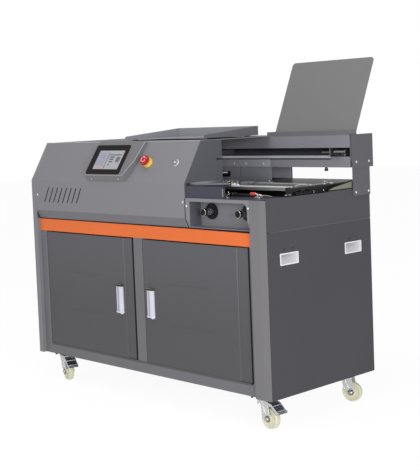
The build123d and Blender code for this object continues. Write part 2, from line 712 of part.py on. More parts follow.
def make_paper_board():
    """Shelf on the beam, bent up into the slanted board, with ribs under the shelf."""
    x0 = HOUSING_END - 14
    x1 = LENGTH - 7
    seat = BEAM_TOP + SEAT
    fold_y = BEAM_Y + 50
    fold_z = TOP_Z + 15
    tip = (fold_y + 120, fold_z + 269)
    board = prism_x(bent([(BEAM_Y, seat), (BEAM_Y, fold_z), (fold_y, fold_z), tip], 3), x0, x1)
    board -= block(x0 - 1, HOUSING_END + 0.5, BEAM_Y - 1, BEAM_Y + 5, TOP_Z - 3, TOP_Z + GAP)
    for x in (HOUSING_END + 46, HOUSING_END + 182, x1 - 60):
        board += block(x, x + 3, BEAM_Y + 1, fold_y - 2, seat, fold_z - 2)
    across = board.edges().filter_by(Axis.Y, reverse=True)
    corners = [e for e in across if e.length < 4 and e.center().Z > tip[1] - 10]
    return fillet(corners, 14)


def make_top_tray():
    """Tray with low sloping cheeks and a higher rear wall, on four pads."""
    x0 = HOUSING_END - 520
    x1 = HOUSING_END - 61
    y0 = BEAM_Y - 300
    y1 = BEAM_Y
    z0 = TOP_Z + 5
    high = z0 + 36.5
    tray = block(x0, x1, y0, y1, z0, z0 + SHEET)
    tray += block(x0, x1, y1 - SHEET, y1, z0, high)
    cheek = [(y0, z0), (y1, z0), (y1, high), (y0, z0 + 12.5)]
    for x in (x0, x1 - SHEET):
        tray += prism_x(cheek, x, x + SHEET)
    for x in (x0 + 22, x1 - 38):
        for y in (y0 + 22, y1 - 38):
            tray += block(x, x + 16, y, y + 16, TOP_Z + SEAT, z0 + 1)
    return tray


# ------------------------------------------------- nip, clamp, mill, glue
TABLE_X0 = HOUSING_END + 10.0
TABLE_X1 = LENGTH - 6.0
JAW_X0 = HOUSING_END + 31.0
JAW_X1 = LENGTH - 37.0
JAW_LOW = TABLE_Z - 34.0
JAW_FRONT = CLAMP_FACE - 70.0
NOSE_T = 11.0
JAW_REAR = BOOK_Y + 24.0
SUPPORT_T = 16.0


def make_nip_table():
    """Polished plate that reaches round the jaws on both sides."""
    table = block(TABLE_X0, TABLE_X1, JAW_FRONT - 2, DEPTH - 6, TABLE_Z - TABLE_T, TABLE_Z)
    well = (JAW_X0 - 2, JAW_X1 + 2, JAW_FRONT - 3, JAW_REAR + 2)
    return table - block(*well, TABLE_Z - TABLE_T - 1, TABLE_Z + 1)


def make_table_supports():
    """Two standing plates and the bed between them, on which the jaws rest."""
    x0 = TABLE_X0 + 2
    x1 = JAW_X1 + 2 + SUPPORT_T
    y0, y1 = JAW_FRONT - 2, DEPTH - 20
    cradle = block(x0, x1, y0, JAW_REAR + 2, JAW_LOW - 6, JAW_LOW - SEAT)
    for x in (x0, x1 - SUPPORT_T):
        cradle += block(x, x + SUPPORT_T, y0, y1, DECK_Z + DECK_T + SEAT, TABLE_Z - TABLE_T - SEAT)
    tongue = (CLAMP_FACE - 26, CLAMP_FACE - 6)
    cradle -= block(x0 - 1, x1 + 1, tongue[0] - 1, tongue[1] + CLAMP_MOVE + 1, JAW_LOW + 9.5, JAW_LOW + 22.5)
    window = (y0 + 30, y1 - 60, DECK_Z + 30, JAW_LOW - 26)
    return cradle - block(x0 - 1, x1 + 1, *window)


def make_rear_jaw():
    section = [
        (BOOK_Y, JAW_LOW), (JAW_REAR, JAW_LOW), (JAW_REAR, TABLE_Z + 6),
        (BOOK_Y + 2, TABLE_Z + 6), (BOOK_Y, TABLE_Z + 4),
    ]
    jaw = prism_x(section, JAW_X0, JAW_X1)
    notch = JAW_X0 + 57
    return jaw - block(notch, notch + 18, BOOK_Y - 1, JAW_REAR + 1, TABLE_Z - 3, TABLE_Z + 7)


def make_front_jaw():
    """Jaw with an overhanging nose and a guide tongue that runs in the slots of the supports."""
    face = CLAMP_FACE
    body = JAW_FRONT + 34
    section = [
        (body, JAW_LOW), (face, JAW_LOW), (face, TABLE_Z - 2), (face - 2, TABLE_Z),
        (JAW_FRONT + 1, TABLE_Z), (JAW_FRONT, TABLE_Z - 1), (JAW_FRONT, TABLE_Z - NOSE_T),
        (body - 6, TABLE_Z - NOSE_T), (body, TABLE_Z - NOSE_T - 6),
    ]
    jaw = prism_x(section, JAW_X0, JAW_X1)
    tongue = (TABLE_X0 + 2, JAW_X1 + 2 + SUPPORT_T)
    return jaw + block(*tongue, face - 26, face - 6, JAW_LOW + 10, JAW_LOW + 22)


def make_carriage():
    """Rear clamp plate, ribbed arm through the beam's slot and the bearing on the shaft."""
    x0 = CLAMP_X - CLAMP_LEN / 2
    x1 = CLAMP_X + CLAMP_LEN / 2
    arm = (CLAMP_X - 65, CLAMP_X + 65)
    back = BOOK_Y + PLATE_T
    root = BEAM_Y - 70
    carriage = block(x0, x1, BOOK_Y, back, CLAMP_LOW, CLAMP_HIGH)
    carriage += block(*arm, back - 1, root, ARM_Z - 16, ARM_Z + 34)
    carriage += block(*arm, root - 10, SHAFT_Y + 20, ARM_Z - 10, ARM_Z + 10)
    carriage += block(*arm, SHAFT_Y - 20, SHAFT_Y + 20, ARM_Z + 9, SHAFT_Z + 20)
    rib = [(back - 1, CLAMP_LOW + 8), (root - 20, ARM_Z - 15), (back - 1, ARM_Z - 15)]
    for x in (x0 + 60, CLAMP_X - 60, CLAMP_X + 48, x1 - 72):
        carriage += prism_x(rib, x, x + 12)
    shelf = [(x0 + 60, back - 1), (arm[0] + 1, root - 20), (arm[1] - 1, root - 20), (x1 - 60, back - 1)]
    carriage += prism_z(shelf, ARM_Z - 16, ARM_Z - 8)
    carriage -= rod_x(arm[0] - 1, arm[1] + 1, SHAFT_Y, SHAFT_Z, SHAFT_R + RUN)
    for x in (x0 + 15, x1 - 15):
        carriage += rod_y(CLAMP_FACE - PLATE_T, BOOK_Y + 5, x, CLAMP_HIGH - 20, ROD_R)
    return carriage


def make_front_plate():
    x0 = CLAMP_X - CLAMP_LEN / 2
    x1 = CLAMP_X + CLAMP_LEN / 2
    plate = block(x0, x1, CLAMP_FACE - PLATE_T, CLAMP_FACE, CLAMP_LOW, CLAMP_HIGH)
    for x in (x0 + 15, x1 - 15):
        plate -= rod_y(CLAMP_FACE - PLATE_T - 1, CLAMP_FACE + 1, x, CLAMP_HIGH - 20, ROD_R + RUN)
    return plate


MILL_R = 55.0
MILL_TEETH = 18
SPINDLE_R = 10.0
CUTTER_LOW = TABLE_Z - 12.0


def make_cutter():
    """Saw-toothed spine cutter on a hexagonal hub."""
    rim = []
    for i in range(MILL_TEETH):
        a = math.tau * i / MILL_TEETH
        for r, turn in ((MILL_R, 0.0), (MILL_R - 7, 0.04), (MILL_R - 7, 0.24)):
            rim.append((MILL_X + r * math.cos(a + turn), MILL_Y + r * math.sin(a + turn)))
    cutter = prism_z(rim, TABLE_Z + 4, TABLE_Z + 12)
    cutter += hex_z(CUTTER_LOW, TABLE_Z + 5, MILL_X, MILL_Y, 22)
    return cutter - rod_z(CUTTER_LOW - 1, TABLE_Z + 13, MILL_X, MILL_Y, SPINDLE_R + RUN)


def make_mill_motor():
    """Flanged motor with cooling fins and its upright spindle."""
    base = DECK_Z + DECK_T + SEAT
    motor = block(MILL_X - 58, MILL_X + 58, MILL_Y - 41, MILL_Y + 58, base, base + 10)
    fins = ridged(MILL_X, MILL_Y, 40, 5, 12)
    motor += prism_z(fins, base + 9, CUTTER_LOW - 20)
    motor += hex_z(CUTTER_LOW - 21, CUTTER_LOW - 6, MILL_X, MILL_Y, 26)
    return motor + rod_z(CUTTER_LOW - 7, TABLE_Z + 12, MILL_X, MILL_Y, SPINDLE_R)


TANK_X0 = HOUSING_END - 470.0
TANK_X1 = HOUSING_END - 210.0
TANK_HALF = 52.0
TANK_LOW = TABLE_Z - 72.0
TANK_TOP = TABLE_Z + 2.0
ROLLERS = (TANK_X0 + 80.0, TANK_X0 + 180.0)
ROLLER_R = 24.0
ROLLER_Z = TABLE_Z - 8.0
ROLLER_PIN_R = 6.0


def make_glue_tank():
    """Cast trough on two feet; the roller journals lie in open U-shaped bearings."""
    y0, y1 = MILL_Y - TANK_HALF, MILL_Y + TANK_HALF
    tank = block(TANK_X0, TANK_X1, y0, y1, TANK_LOW, TANK_TOP)
    tank -= block(TANK_X0 + 4, TANK_X1 - 4, y0 + 4, y1 - 4, TANK_LOW + 6, TANK_TOP + 1)
    slot = ROLLER_PIN_R + RUN
    for x in ROLLERS:
        tank -= rod_y(y0 - 1, y1 + 1, x, ROLLER_Z, slot)
        tank -= block(x - slot, x + slot, y0 - 1, y1 + 1, ROLLER_Z, TANK_TOP + 1)
    for x in (TANK_X0 + 10, TANK_X1 - 30):
        tank += block(x, x + 20, y0 + 6, y1 - 6, DECK_Z + DECK_T + SEAT, TANK_LOW + 1)
    return tank


def make_roller(x):
    roller = rod_y(MILL_Y - 42, MILL_Y + 42, x, ROLLER_Z, ROLLER_R)
    return roller + rod_y(MILL_Y - 60, MILL_Y + 60, x, ROLLER_Z, ROLLER_PIN_R)


# ------------------------------------------------------ cabinet contents
INLET_X = 260.0
INLET_Z = FLOOR_TOP + 108.0
ELECTRIC_X = (LEFT_DOOR_X + 36.0, LEFT_DOOR_X + 346.0)


def make_electrical_box():
    """Shallow case on the rear panel with the sunk mains inlet."""
    x0, x1 = ELECTRIC_X
    y1 = DEPTH - SHEET - SEAT
    low, high = FLOOR_TOP + 48, DECK_Z - 140
    case = block(x0, x1, y1 - 90, y1, low, high)
    case = chamfer(case.edges().filter_by(Axis.X).group_by(Axis.Y)[0], 3)
    case -= block(x0 + 2, x1 - 2, y1 - 88, y1 + 1, low + 2, high - 2)
    case += block(INLET_X - 25, INLET_X + 25, y1 - 30, DEPTH + 3, INLET_Z - 15, INLET_Z + 15)
    case += block(INLET_X - 25, x1 - 1, y1 - 30, y1 - 26, INLET_Z - 15, INLET_Z + 15)
    return case - block(INLET_X - 20, INLET_X + 20, DEPTH - 8, DEPTH + 4, INLET_Z - 10, INLET_Z + 10)


def make_waste_box():
    """Open drawer for the paper milled from the spines, with a grip slot."""
    x0, x1 = RIGHT_DOOR_X + 33, RIGHT_DOOR_X + DOOR_W - 57
    y0, y1 = 110.0, DEPTH - 80
    t = DOOR_SKIN
    low, high = FLOOR_TOP + SEAT, FLOOR_TOP + 268
    box = block(x0, x1, y0, y1, low, high)
    box -= block(x0 + t, x1 - t, y0 + t, y1 - t, low + t, high + 1)
    grip = Plane(origin=((x0 + x1) / 2, y0 - 5, high - 60), x_dir=(1, 0, 0), z_dir=(0, 1, 0))
    return box - extrude(grip * SlotOverall(110, 30), 12)


PULL_Y = (117.0, DEPTH - 108.5)
PULL_Z = SIDE_SPLIT - 97.0


def make_side_pulls():
    """Recessed pull: flanged frame, cup behind it and a finger space under its upper rim."""
    pulls = []
    for y in PULL_Y:
        flange = Plane(origin=(LENGTH + SEAT, y, PULL_Z), x_dir=(0, 1, 0), z_dir=(1, 0, 0))
        pull = extrude(flange * clipped(96, 42, 3), 2.2)
        pull += block(LENGTH - 20, LENGTH + 1, y - 43, y + 43, PULL_Z - 16, PULL_Z + 16)
        pull -= block(LENGTH - 18, LENGTH + 5, y - 40, y + 40, PULL_Z - 13, PULL_Z + 8)
        pull -= block(LENGTH - 18, LENGTH - 5, y - 40, y + 40, PULL_Z - 13, PULL_Z + 13)
        pulls.append(pull)
    return group(pulls)


# -------------------------------------------------------------- casters
CASTER_RIGHT = LENGTH - 81.0
CASTER_REAR = DEPTH - 80.0
CROWN_Z = BASE_Z - 9.2
PEDAL_Z = BASE_Z - 23.0
SPOTS = {
    "front_left": (CASTER_LEFT, CASTER_FRONT, -16.0),
    "front_right": (CASTER_RIGHT, CASTER_FRONT, -3.0),
    "rear_left": (CASTER_LEFT, CASTER_REAR, 35.0),
    "rear_right": (CASTER_RIGHT, CASTER_REAR, 18.0),
}


def placed(shape, spot):
    x, y, turn = spot
    return Pos(x, y, 0) * Rot(0, 0, turn) * shape


def make_caster_plates():
    plates = []
    half = CASTER_PLATE / 2
    for x, y, _ in SPOTS.values():
        plate = block(x - half, x + half, y - half, y + half, BASE_Z - 3, BASE_Z - SEAT)
        plates.append(plate + rod_z(CROWN_Z + SEAT, BASE_Z - 2.5, x, y, 21))
    return group(plates)


def make_fork(spot, braked):
    """Stamped fork: crown plate, two legs that narrow to the axle, axle bolt and nuts."""
    t = CASTER_TRAIL
    outer = FORK_IN + FORK_T
    leg = outline([
        (-16, CROWN_Z), (32, CROWN_Z), (t + 12, WHEEL_R + 6), (t + 12, WHEEL_R),
        (t - 12, WHEEL_R), (t - 22, WHEEL_R + 8), (t - 31, WHEEL_R + 20), (t - 34, WHEEL_R + 38),
    ]) + Pos(t, WHEEL_R) * Circle(12)
    nose = [(-14, outer), (-24, 12), (-24, -12), (-14, -outer)]
    fork = prism_z(nose + [(32, -outer), (32, outer)], CROWN_Z - 3, CROWN_Z)
    fork += prism_z(bent(nose, -FORK_T), CROWN_Z - 20, CROWN_Z)
    for y0 in (-outer, FORK_IN):
        plane = Plane(origin=(0, y0, 0), x_dir=(1, 0, 0), z_dir=(0, -1, 0))
        fork += extrude(plane * leg, -FORK_T)
        fork += hex_y(y0 - 3 if y0 < 0 else y0 + FORK_T - 0.5, y0 + 0.5 if y0 < 0 else y0 + FORK_T + 3,
                      t, WHEEL_R, 9)
    fork += rod_y(-outer, outer, t, WHEEL_R, AXLE_R)
    if braked:
        fork += rod_y(-outer, outer, PEDAL_X, PEDAL_Z, 3)
    return placed(fork, spot)


def make_wheel(spot):
    """Nylon wheel turned about its axle: dished sides, raised rim and bevelled tread."""
    bore = AXLE_R + RUN
    half = [(bore, 13.5), (31, 9.5), (33, 12), (WHEEL_R, 9)]
    section = half + [(r, -y) for r, y in half[::-1]]
    turned = revolve(Plane.XZ * outline([(r, y) for r, y in section]), Axis.Z)
    upright = Rot(90, 0, 0) * turned
    return placed(Pos(CASTER_TRAIL, 0, WHEEL_R) * upright, spot)


def make_pedal(spot):
    """Brake pedal: ridged tread with a lipped tip on a square hub between the fork's legs."""
    fall = 14 / 16
    rise = [(9, 5), (27, 2), (43, 2 - 16 * fall), (57, -23), (62, -22)]
    line = [(PEDAL_X + a, PEDAL_Z + b) for a, b in rise]
    pedal = prism_y(bent(line, 4), -21, 21)
    for a in (29.5, 34.5, 39.5):
        x, z = PEDAL_X + a, PEDAL_Z + 2 - (a - 27) * fall
        pedal += prism_y([(x - 2, z), (x + 1, z + 1.2), (x + 2, z), (x - 1, z - 2)], -18, 18)
    pedal += block(PEDAL_X - 7, PEDAL_X + 10, -14, 14, PEDAL_Z - 6, PEDAL_Z + 6)
    return placed(pedal - rod_y(-20, 20, PEDAL_X, PEDAL_Z, 3 + RUN), spot)


# --------------------------------------------------------------- screws
def make_screws():
    head = 1.8
    screws = []
    edge = HOUSING_END
    for x, z in ((LEFT + 10, -61), (edge - 12, -67), (edge + 7, -80), (PILLAR_X - 5, -79)):
        screws.append(hex_y(-SEAT - head, -SEAT, x, KNEE_Z + z, 4))
    for x in (edge - 199, edge - 134, edge - 38):
        screws.append(hex_y(BEAM_Y - SEAT - head, BEAM_Y - SEAT, x, BEAM_LOW + 12, SCREW_R))
    for y in (DEPTH - 82, DEPTH - 7):
        screws.append(hex_x(LENGTH + 7 + SEAT, LENGTH + 7 + SEAT + head, y, SLOT_LOW - 21, SCREW_R))
        face = LENGTH + GAP + 3.6 + SEAT
        screws.append(hex_x(face, face + head, y - 3, SIDE_TOP - 12, SCREW_R))
    for y in PULL_Y:
        for side in (-23.5, 19.5):
            screws.append(hex_x(LENGTH + SEAT, LENGTH + SEAT + 1.2, y + side, PULL_Z + 34, 3))
    screws.append(hex_z(BEAM_LOW - 9, BEAM_LOW - SEAT, LENGTH - 122, BEAM_Y + 12, SCREW_R))
    return group(screws)


def build():
    PARTS["base_frame"] = make_base_frame()
    PARTS["machine_deck"] = make_deck()
    PARTS["left_side_panel"] = make_left_side_panel()
    PARTS["right_side_panel"] = make_right_side_panel()
    PARTS["right_upper_panel"] = make_right_upper_panel()
    PARTS["right_pillar"] = make_right_pillar()
    PARTS["rear_panel"] = make_rear_panel()
    PARTS["front_beam"] = make_front_beam()
    PARTS["left_door"] = make_door(LEFT_DOOR_X, PIVOTS[0])
    PARTS["right_door"] = make_door(RIGHT_DOOR_X, PIVOTS[1])
    PARTS["left_door_handle"] = make_handle(LEFT_DOOR_X + DOOR_W - 83)
    PARTS["right_door_handle"] = make_handle(RIGHT_DOOR_X + 36.5)
    PARTS["door_pivot_pins"] = make_pivot_pins()
    PARTS["housing_cover"] = make_housing_cover()
    PARTS["housing_end_wall"] = make_end_wall()
    PARTS["inner_wall"] = make_inner_wall()
    PARTS["milling_guard"] = make_milling_guard()
    PARTS["screen_hood"] = make_screen_hood()
    PARTS["touch_screen"] = make_touch_screen()
    PARTS["estop_body"] = make_estop_body()
    PARTS["estop_stem"] = make_estop_stem()
    PARTS["estop_cap"] = make_estop_cap()
    PARTS["power_button"] = make_power_button()
    PARTS["dial_panel"] = make_dial_panel()
    PARTS["left_dial"] = make_dial(DIAL_LEFT, KNOB_LEFT_Y)
    PARTS["right_dial"] = make_dial(DIAL_RIGHT, KNOB_RIGHT_Y)
    PARTS["beam_cover"] = make_beam_cover()
    PARTS["guide_shaft"] = make_guide_shaft()
    PARTS["guide_strip"] = make_guide_strip()
    PARTS["rail_stop"] = make_rail_stop()
    PARTS["tower_post"] = make_tower_post()
    PARTS["tower_cap"] = make_tower_cap()
    PARTS["paper_board"] = make_paper_board()
    PARTS["top_tray"] = make_top_tray()
    PARTS["nip_table"] = make_nip_table()
    PARTS["table_supports"] = make_table_supports()
    PARTS["nip_rear_jaw"] = make_rear_jaw()
    PARTS["nip_front_jaw"] = make_front_jaw()
    PARTS["clamp_carriage"] = make_carriage()
    PARTS["clamp_front_plate"] = make_front_plate()
    PARTS["milling_cutter"] = make_cutter()
    PARTS["milling_motor"] = make_mill_motor()
    PARTS["glue_tank"] = make_glue_tank()
    PARTS["glue_roller_left"] = make_roller(ROLLERS[0])
    PARTS["glue_roller_right"] = make_roller(ROLLERS[1])
    PARTS["electrical_box"] = make_electrical_box()
    PARTS["waste_box"] = make_waste_box()
    PARTS["side_pulls"] = make_side_pulls()
    PARTS["caster_plates"] = make_caster_plates()
    for name, spot in SPOTS.items():
        braked = name.startswith("front")
        PARTS["caster_fork_" + name] = make_fork(spot, braked)
        PARTS["caster_wheel_" + name] = make_wheel(spot)
        if braked:
            PARTS["brake_pedal_" + name] = make_pedal(spot)
    PARTS["panel_screws"] = make_screws()


def save():
    boxes = [shape.bounding_box() for shape in PARTS.values()]
    mid_x = (min(b.min.X for b in boxes) + max(b.max.X for b in boxes)) / 2
    mid_y = (min(b.min.Y for b in boxes) + max(b.max.Y for b in boxes)) / 2
    for name, shape in PARTS.items():
        moved = Pos(-mid_x, -mid_y, 0) * shape
        export_step(moved, "parts/" + name + ".step")
    print("centre", round(mid_x, 4), round(mid_y, 4), "nodes", len(PARTS))


build()
save()
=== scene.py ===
import math
import bpy
import numpy as np
from mathutils import Matrix, Vector


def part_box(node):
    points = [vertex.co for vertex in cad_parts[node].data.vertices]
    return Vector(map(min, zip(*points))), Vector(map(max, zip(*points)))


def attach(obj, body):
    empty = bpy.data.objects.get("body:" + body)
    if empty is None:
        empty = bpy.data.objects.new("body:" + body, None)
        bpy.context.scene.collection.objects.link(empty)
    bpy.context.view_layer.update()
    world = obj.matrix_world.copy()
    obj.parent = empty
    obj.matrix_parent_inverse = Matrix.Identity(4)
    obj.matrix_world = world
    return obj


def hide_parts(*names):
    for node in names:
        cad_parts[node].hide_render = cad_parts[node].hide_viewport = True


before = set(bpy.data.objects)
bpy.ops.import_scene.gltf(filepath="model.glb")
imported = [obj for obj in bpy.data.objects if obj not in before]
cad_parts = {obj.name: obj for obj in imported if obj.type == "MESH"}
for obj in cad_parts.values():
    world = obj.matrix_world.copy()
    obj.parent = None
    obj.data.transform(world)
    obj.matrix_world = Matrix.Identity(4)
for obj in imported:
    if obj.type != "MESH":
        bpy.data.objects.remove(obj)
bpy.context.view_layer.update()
print("frame loaded:", len(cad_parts), "nodes")

# The machine's own corner: left face, front face, floor. Places below are in millimetres from it.
machineCorner = np.array([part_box("left_side_panel")[0][0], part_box("left_side_panel")[0][1], 0])
right = np.array([1.0, 0, 0])
forward = np.array([0, -1.0, 0])  # towards the operator
upward = np.array([0, 0, 1.0])

# The slanted panel starts at the knee and goes back by the run while it goes up by the rise.
kneeHeight = 852
slopeRun = 91.4
slopeRise = 154
slopeLength = math.hypot(slopeRun, slopeRise)
slopeUp = np.array([0, slopeRun, slopeRise]) / slopeLength
slopeOut = np.array([0, -slopeRise, slopeRun]) / slopeLength


def at(points):  # machine millimetres to scene metres
    return np.asarray(points, float) / 1000 + machineCorner


def boxOf(node):  # a CAD node's corners in machine millimetres
    return [(np.array(corner) - machineCorner) * 1000 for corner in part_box(node)]


def onSlope(x, up, out):  # a place on the slanted panel: along x, up the slope, out of it
    return np.array([x, 0, kneeHeight]) + slopeUp * up + slopeOut * out


def basis(axis):  # an axis made one long, and two directions square to it
    axis = np.asarray(axis, float) / np.linalg.norm(axis)
    helper = upward if abs(axis[2]) < 0.9 else right
    first = np.cross(helper, axis)
    first /= np.linalg.norm(first)
    return axis, first, np.cross(axis, first)


# Every new piece is one or more grids of points. A grid's columns always close on themselves.
def turnedGrid(profile, origin, axis, steps=40):
    # point = origin + along * axis + radius * (cos a * first + sin a * second), for each (along, radius)
    axis, first, second = basis(axis)
    along, radius = np.asarray(profile, float).T
    angle = np.linspace(0, 2 * math.pi, steps, endpoint=False)
    ring = np.cos(angle)[None, :, None] * first + np.sin(angle)[None, :, None] * second
    return np.asarray(origin) + along[:, None, None] * axis + radius[:, None, None] * ring


def prismGrid(outline, push):  # an outline, and the same outline moved by a vector
    outline = np.asarray(outline, float)
    return np.stack([outline, outline + np.asarray(push, float)])


def slabGrid(corner, first, second, push):  # a flat plate from one corner and three edges
    corner = np.asarray(corner, float)
    return prismGrid(np.stack([corner, corner + first, corner + first + second, corner + second]), push)


def roundedGrid(low, high, radius, steps=4):
    # point = centre + sign * (half - radius) + radius * direction, quadrant by quadrant
    low, high = np.asarray(low, float), np.asarray(high, float)
    half = (high - low) / 2 - radius
    quarter = np.linspace(0, math.pi / 2, steps + 1)
    turn = np.concatenate([quarter + q * math.pi / 2 for q in range(4)])
    signX = np.repeat([1, -1, -1, 1], steps + 1)
    signY = np.repeat([1, 1, -1, -1], steps + 1)
    lift = np.concatenate([quarter - math.pi / 2, quarter])[:, None]
    signZ = np.repeat([-1, 1], steps + 1)[:, None]
    x = signX * half[0] + radius * np.cos(lift) * np.cos(turn)
    y = signY * half[1] + radius * np.cos(lift) * np.sin(turn)
    z = signZ * half[2] + radius * np.sin(lift) + 0 * turn
    return (low + high) / 2 + np.stack([x, y, z], -1)


def tubeGrid(route, radius, sides=12):
    # point = route + radius * (cos a * first + sin a * second), both square to the route at that place
    route = np.asarray(route, float)
    ahead = np.gradient(route, axis=0)
    ahead /= np.linalg.norm(ahead, axis=1)[:, None]
    helper = np.array([0.13, 0.21, 0.97])  # along none of the routes
    first = np.cross(helper, ahead)
    first /= np.linalg.norm(first, axis=1)[:, None]
    second = np.cross(ahead, first)
    angle = np.linspace(0, 2 * math.pi, sides, endpoint=False)[None, :, None]
    return route[:, None] + radius * (np.cos(angle) * first[:, None] + np.sin(angle) * second[:, None])


def evenRoute(corners, steps=8):  # straight runs between corners, each in equal steps
    corners = np.asarray(corners, float)
    share = np.linspace(0, 1, steps, endpoint=False)[:, None]
    return np.concatenate([a + (b - a) * share for a, b in zip(corners, corners[1:])] + [corners[-1:]])


def domeProfile(radius, high):  # quarter of an ellipse from the rim to the middle
    angle = np.linspace(0, math.pi / 2, 6)
    return np.stack([high * np.sin(angle) + 0.1, np.maximum(radius * np.cos(angle), 0.2)], 1)


def turnedAbout(points, spot):  # caster millimetres to machine millimetres: turned by an angle, then moved
    x, y, angle = spot
    c, s = math.cos(math.radians(angle)), math.sin(math.radians(angle))
    return points @ np.array([[c, s, 0], [-s, c, 0], [0, 0, 1]]) + np.array([x, y, 0])


def gridFaces(rows, columns, ring):
    # quads between neighbours, row after row; in a ring the last row meets the first
    r = np.arange(rows if ring else rows - 1)[:, None]
    c = np.arange(columns)[None, :]
    r2, c2 = (r + 1) % rows, (c + 1) % columns
    corners = (r * columns + c, r * columns + c2, r2 * columns + c2, r2 * columns + c)
    return np.stack(corners, -1).reshape(-1, 4)


def joinGrids(grids, ring):  # all points and faces; a grid that is no ring gets a cap on each end
    points, faces, start = [], [], 0
    for grid in grids:
        rows, columns = grid.shape[:2]
        points.append(grid.reshape(-1, 3))
        faces += (gridFaces(rows, columns, ring) + start).tolist()
        if not ring:
            faces.append((np.arange(columns)[::-1] + start).tolist())
            faces.append((np.arange(columns) + start + (rows - 1) * columns).tolist())
        start += rows * columns
    return np.concatenate(points), faces


creaseAngle = math.radians(38)


def addPiece(name, grids, finish, body="cabinet", smooth=True, ring=False, spot=None):
    points, faces = joinGrids(grids, ring)
    if spot:
        points = turnedAbout(points, spot)
    mesh = bpy.data.meshes.new(name)
    mesh.from_pydata(at(points).tolist(), [], faces)
    mesh.update()
    if smooth:
        mesh.shade_smooth()
        mesh.set_sharp_from_angle(angle=creaseAngle)
    piece = bpy.data.objects.new(name, mesh)
    bpy.context.scene.collection.objects.link(piece)
    piece.data.materials.append(finishes[finish])
    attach(piece, body)
    return piece


def roundedBlocks(name, blocks, finish, body="cabinet"):
    return addPiece(name, [roundedGrid(*block) for block in blocks], finish, body)


def addFittings(table, body="cabinet"):
    # rounded blocks, bent rods and turned pegs, all placed from the table's origin
    origin = np.array(table["origin"], float)
    for name, (finish, slotName, blocks) in table["blocks"].items():
        blocks = [(origin + low, origin + high, radius) for low, high, radius in blocks]
        roundedBlocks(name, blocks, finish, body)
    for name, (finish, slotName, rods) in table.get("rods", {}).items():
        grids = [tubeGrid(origin + route, radius, sides) for radius, sides, route in rods]
        addPiece(name, grids, finish, body)
    for name, (finish, slotName, pegs) in table.get("pegs", {}).items():
        grids = [turnedGrid(profile, origin + place, upward, steps) for profile, place, steps in pegs]
        addPiece(name, grids, finish, body)


# Node groups and finishes. Patterns read the piece's own Object coordinates, in metres.
def feed(tree, value, socket):  # a number becomes the socket's value, an output is linked to it
    if isinstance(value, (int, float)):
        socket.default_value = value
    else:
        tree.links.new(value, socket)


def newGroup(name, inputs, outputs):
    group = bpy.data.node_groups.new(name, "ShaderNodeTree")
    for label, kind, value in inputs:
        socket = group.interface.new_socket(name=label, in_out="INPUT", socket_type=kind)
        socket.default_value = value
    for label in outputs:
        group.interface.new_socket(name=label, in_out="OUTPUT", socket_type="NodeSocketFloat")
    return group, group.nodes.new("NodeGroupInput"), group.nodes.new("NodeGroupOutput")


def maths(tree, operation, first, second):
    node = tree.nodes.new("ShaderNodeMath")
    node.operation = operation
    feed(tree, first, node.inputs[0])
    feed(tree, second, node.inputs[1])
    return node.outputs[0]


def noise(tree, vector, scale, detail=3):
    node = tree.nodes.new("ShaderNodeTexNoise")
    node.inputs["Detail"].default_value = detail
    tree.links.new(vector, node.inputs["Vector"])
    feed(tree, scale, node.inputs["Scale"])
    return node.outputs["Fac"]


def mapRange(tree, value, low, high, start=0.3, end=0.7, curve="LINEAR"):  # start..end becomes low..high
    node = tree.nodes.new("ShaderNodeMapRange")
    node.interpolation_type = curve
    for label, number in (("From Min", start), ("From Max", end), ("To Min", low), ("To Max", high)):
        node.inputs[label].default_value = number
    tree.links.new(value, node.inputs["Value"])
    return node.outputs["Result"]


def colourRamp(tree, factor, stops):
    ramp = tree.nodes.new("ShaderNodeValToRGB")
    elements = ramp.color_ramp.elements
    while len(elements) < len(stops):
        elements.new(0.5)
    for element, (position, colour) in zip(elements, stops):
        element.position = position
        element.color = (*colour, 1)
    tree.links.new(factor, ramp.inputs["Fac"])
    return ramp.outputs["Color"]


def mottled(tree, factor, colour, spread):  # a colour made a little darker and lighter by the factor
    colour = np.asarray(colour)
    return colourRamp(tree, factor, [(0.3, colour * (1 - spread)), (0.7, colour * (1 + spread))])


def makePowderGroup():
    # Height: fine orange peel. Shade: slow variation of the coat with a little speckle.
    inputs = [("Vector", "NodeSocketVector", (0, 0, 0)), ("Grain", "NodeSocketFloat", 900)]
    group, source, sink = newGroup("powderCoat", inputs, ("Height", "Shade"))
    fine = noise(group, source.outputs["Vector"], source.outputs["Grain"])
    slow = noise(group, source.outputs["Vector"], 3, 2)
    shade = maths(group, "ADD", maths(group, "MULTIPLY", fine, 0.35), maths(group, "MULTIPLY", slow, 0.65))
    group.links.new(fine, sink.inputs["Height"])
    group.links.new(shade, sink.inputs["Shade"])
    return group


def makeBrushGroup():
    # Lines: noise stretched along one axis by the Stretch vector, as a grinding belt leaves it.
    inputs = [("Vector", "NodeSocketVector", (0, 0, 0)), ("Stretch", "NodeSocketVector", (8, 900, 900))]
    group, source, sink = newGroup("brushLines", inputs, ("Lines", "Cloud"))
    scaled = group.nodes.new("ShaderNodeVectorMath")
    scaled.operation = "MULTIPLY"
    group.links.new(source.outputs["Vector"], scaled.inputs[0])
    group.links.new(source.outputs["Stretch"], scaled.inputs[1])
    group.links.new(noise(group, scaled.outputs[0], 1, 4), sink.inputs["Lines"])
    group.links.new(noise(group, source.outputs["Vector"], 14, 4), sink.inputs["Cloud"])
    return group


powderGroup = makePowderGroup()
brushGroup = makeBrushGroup()


def newMaterial(name):
    material = bpy.data.materials.new(name)
    material.use_nodes = True
    tree = material.node_tree
    coordinates = tree.nodes.new("ShaderNodeTexCoord").outputs["Object"]
    return material, tree, tree.nodes["Principled BSDF"], coordinates


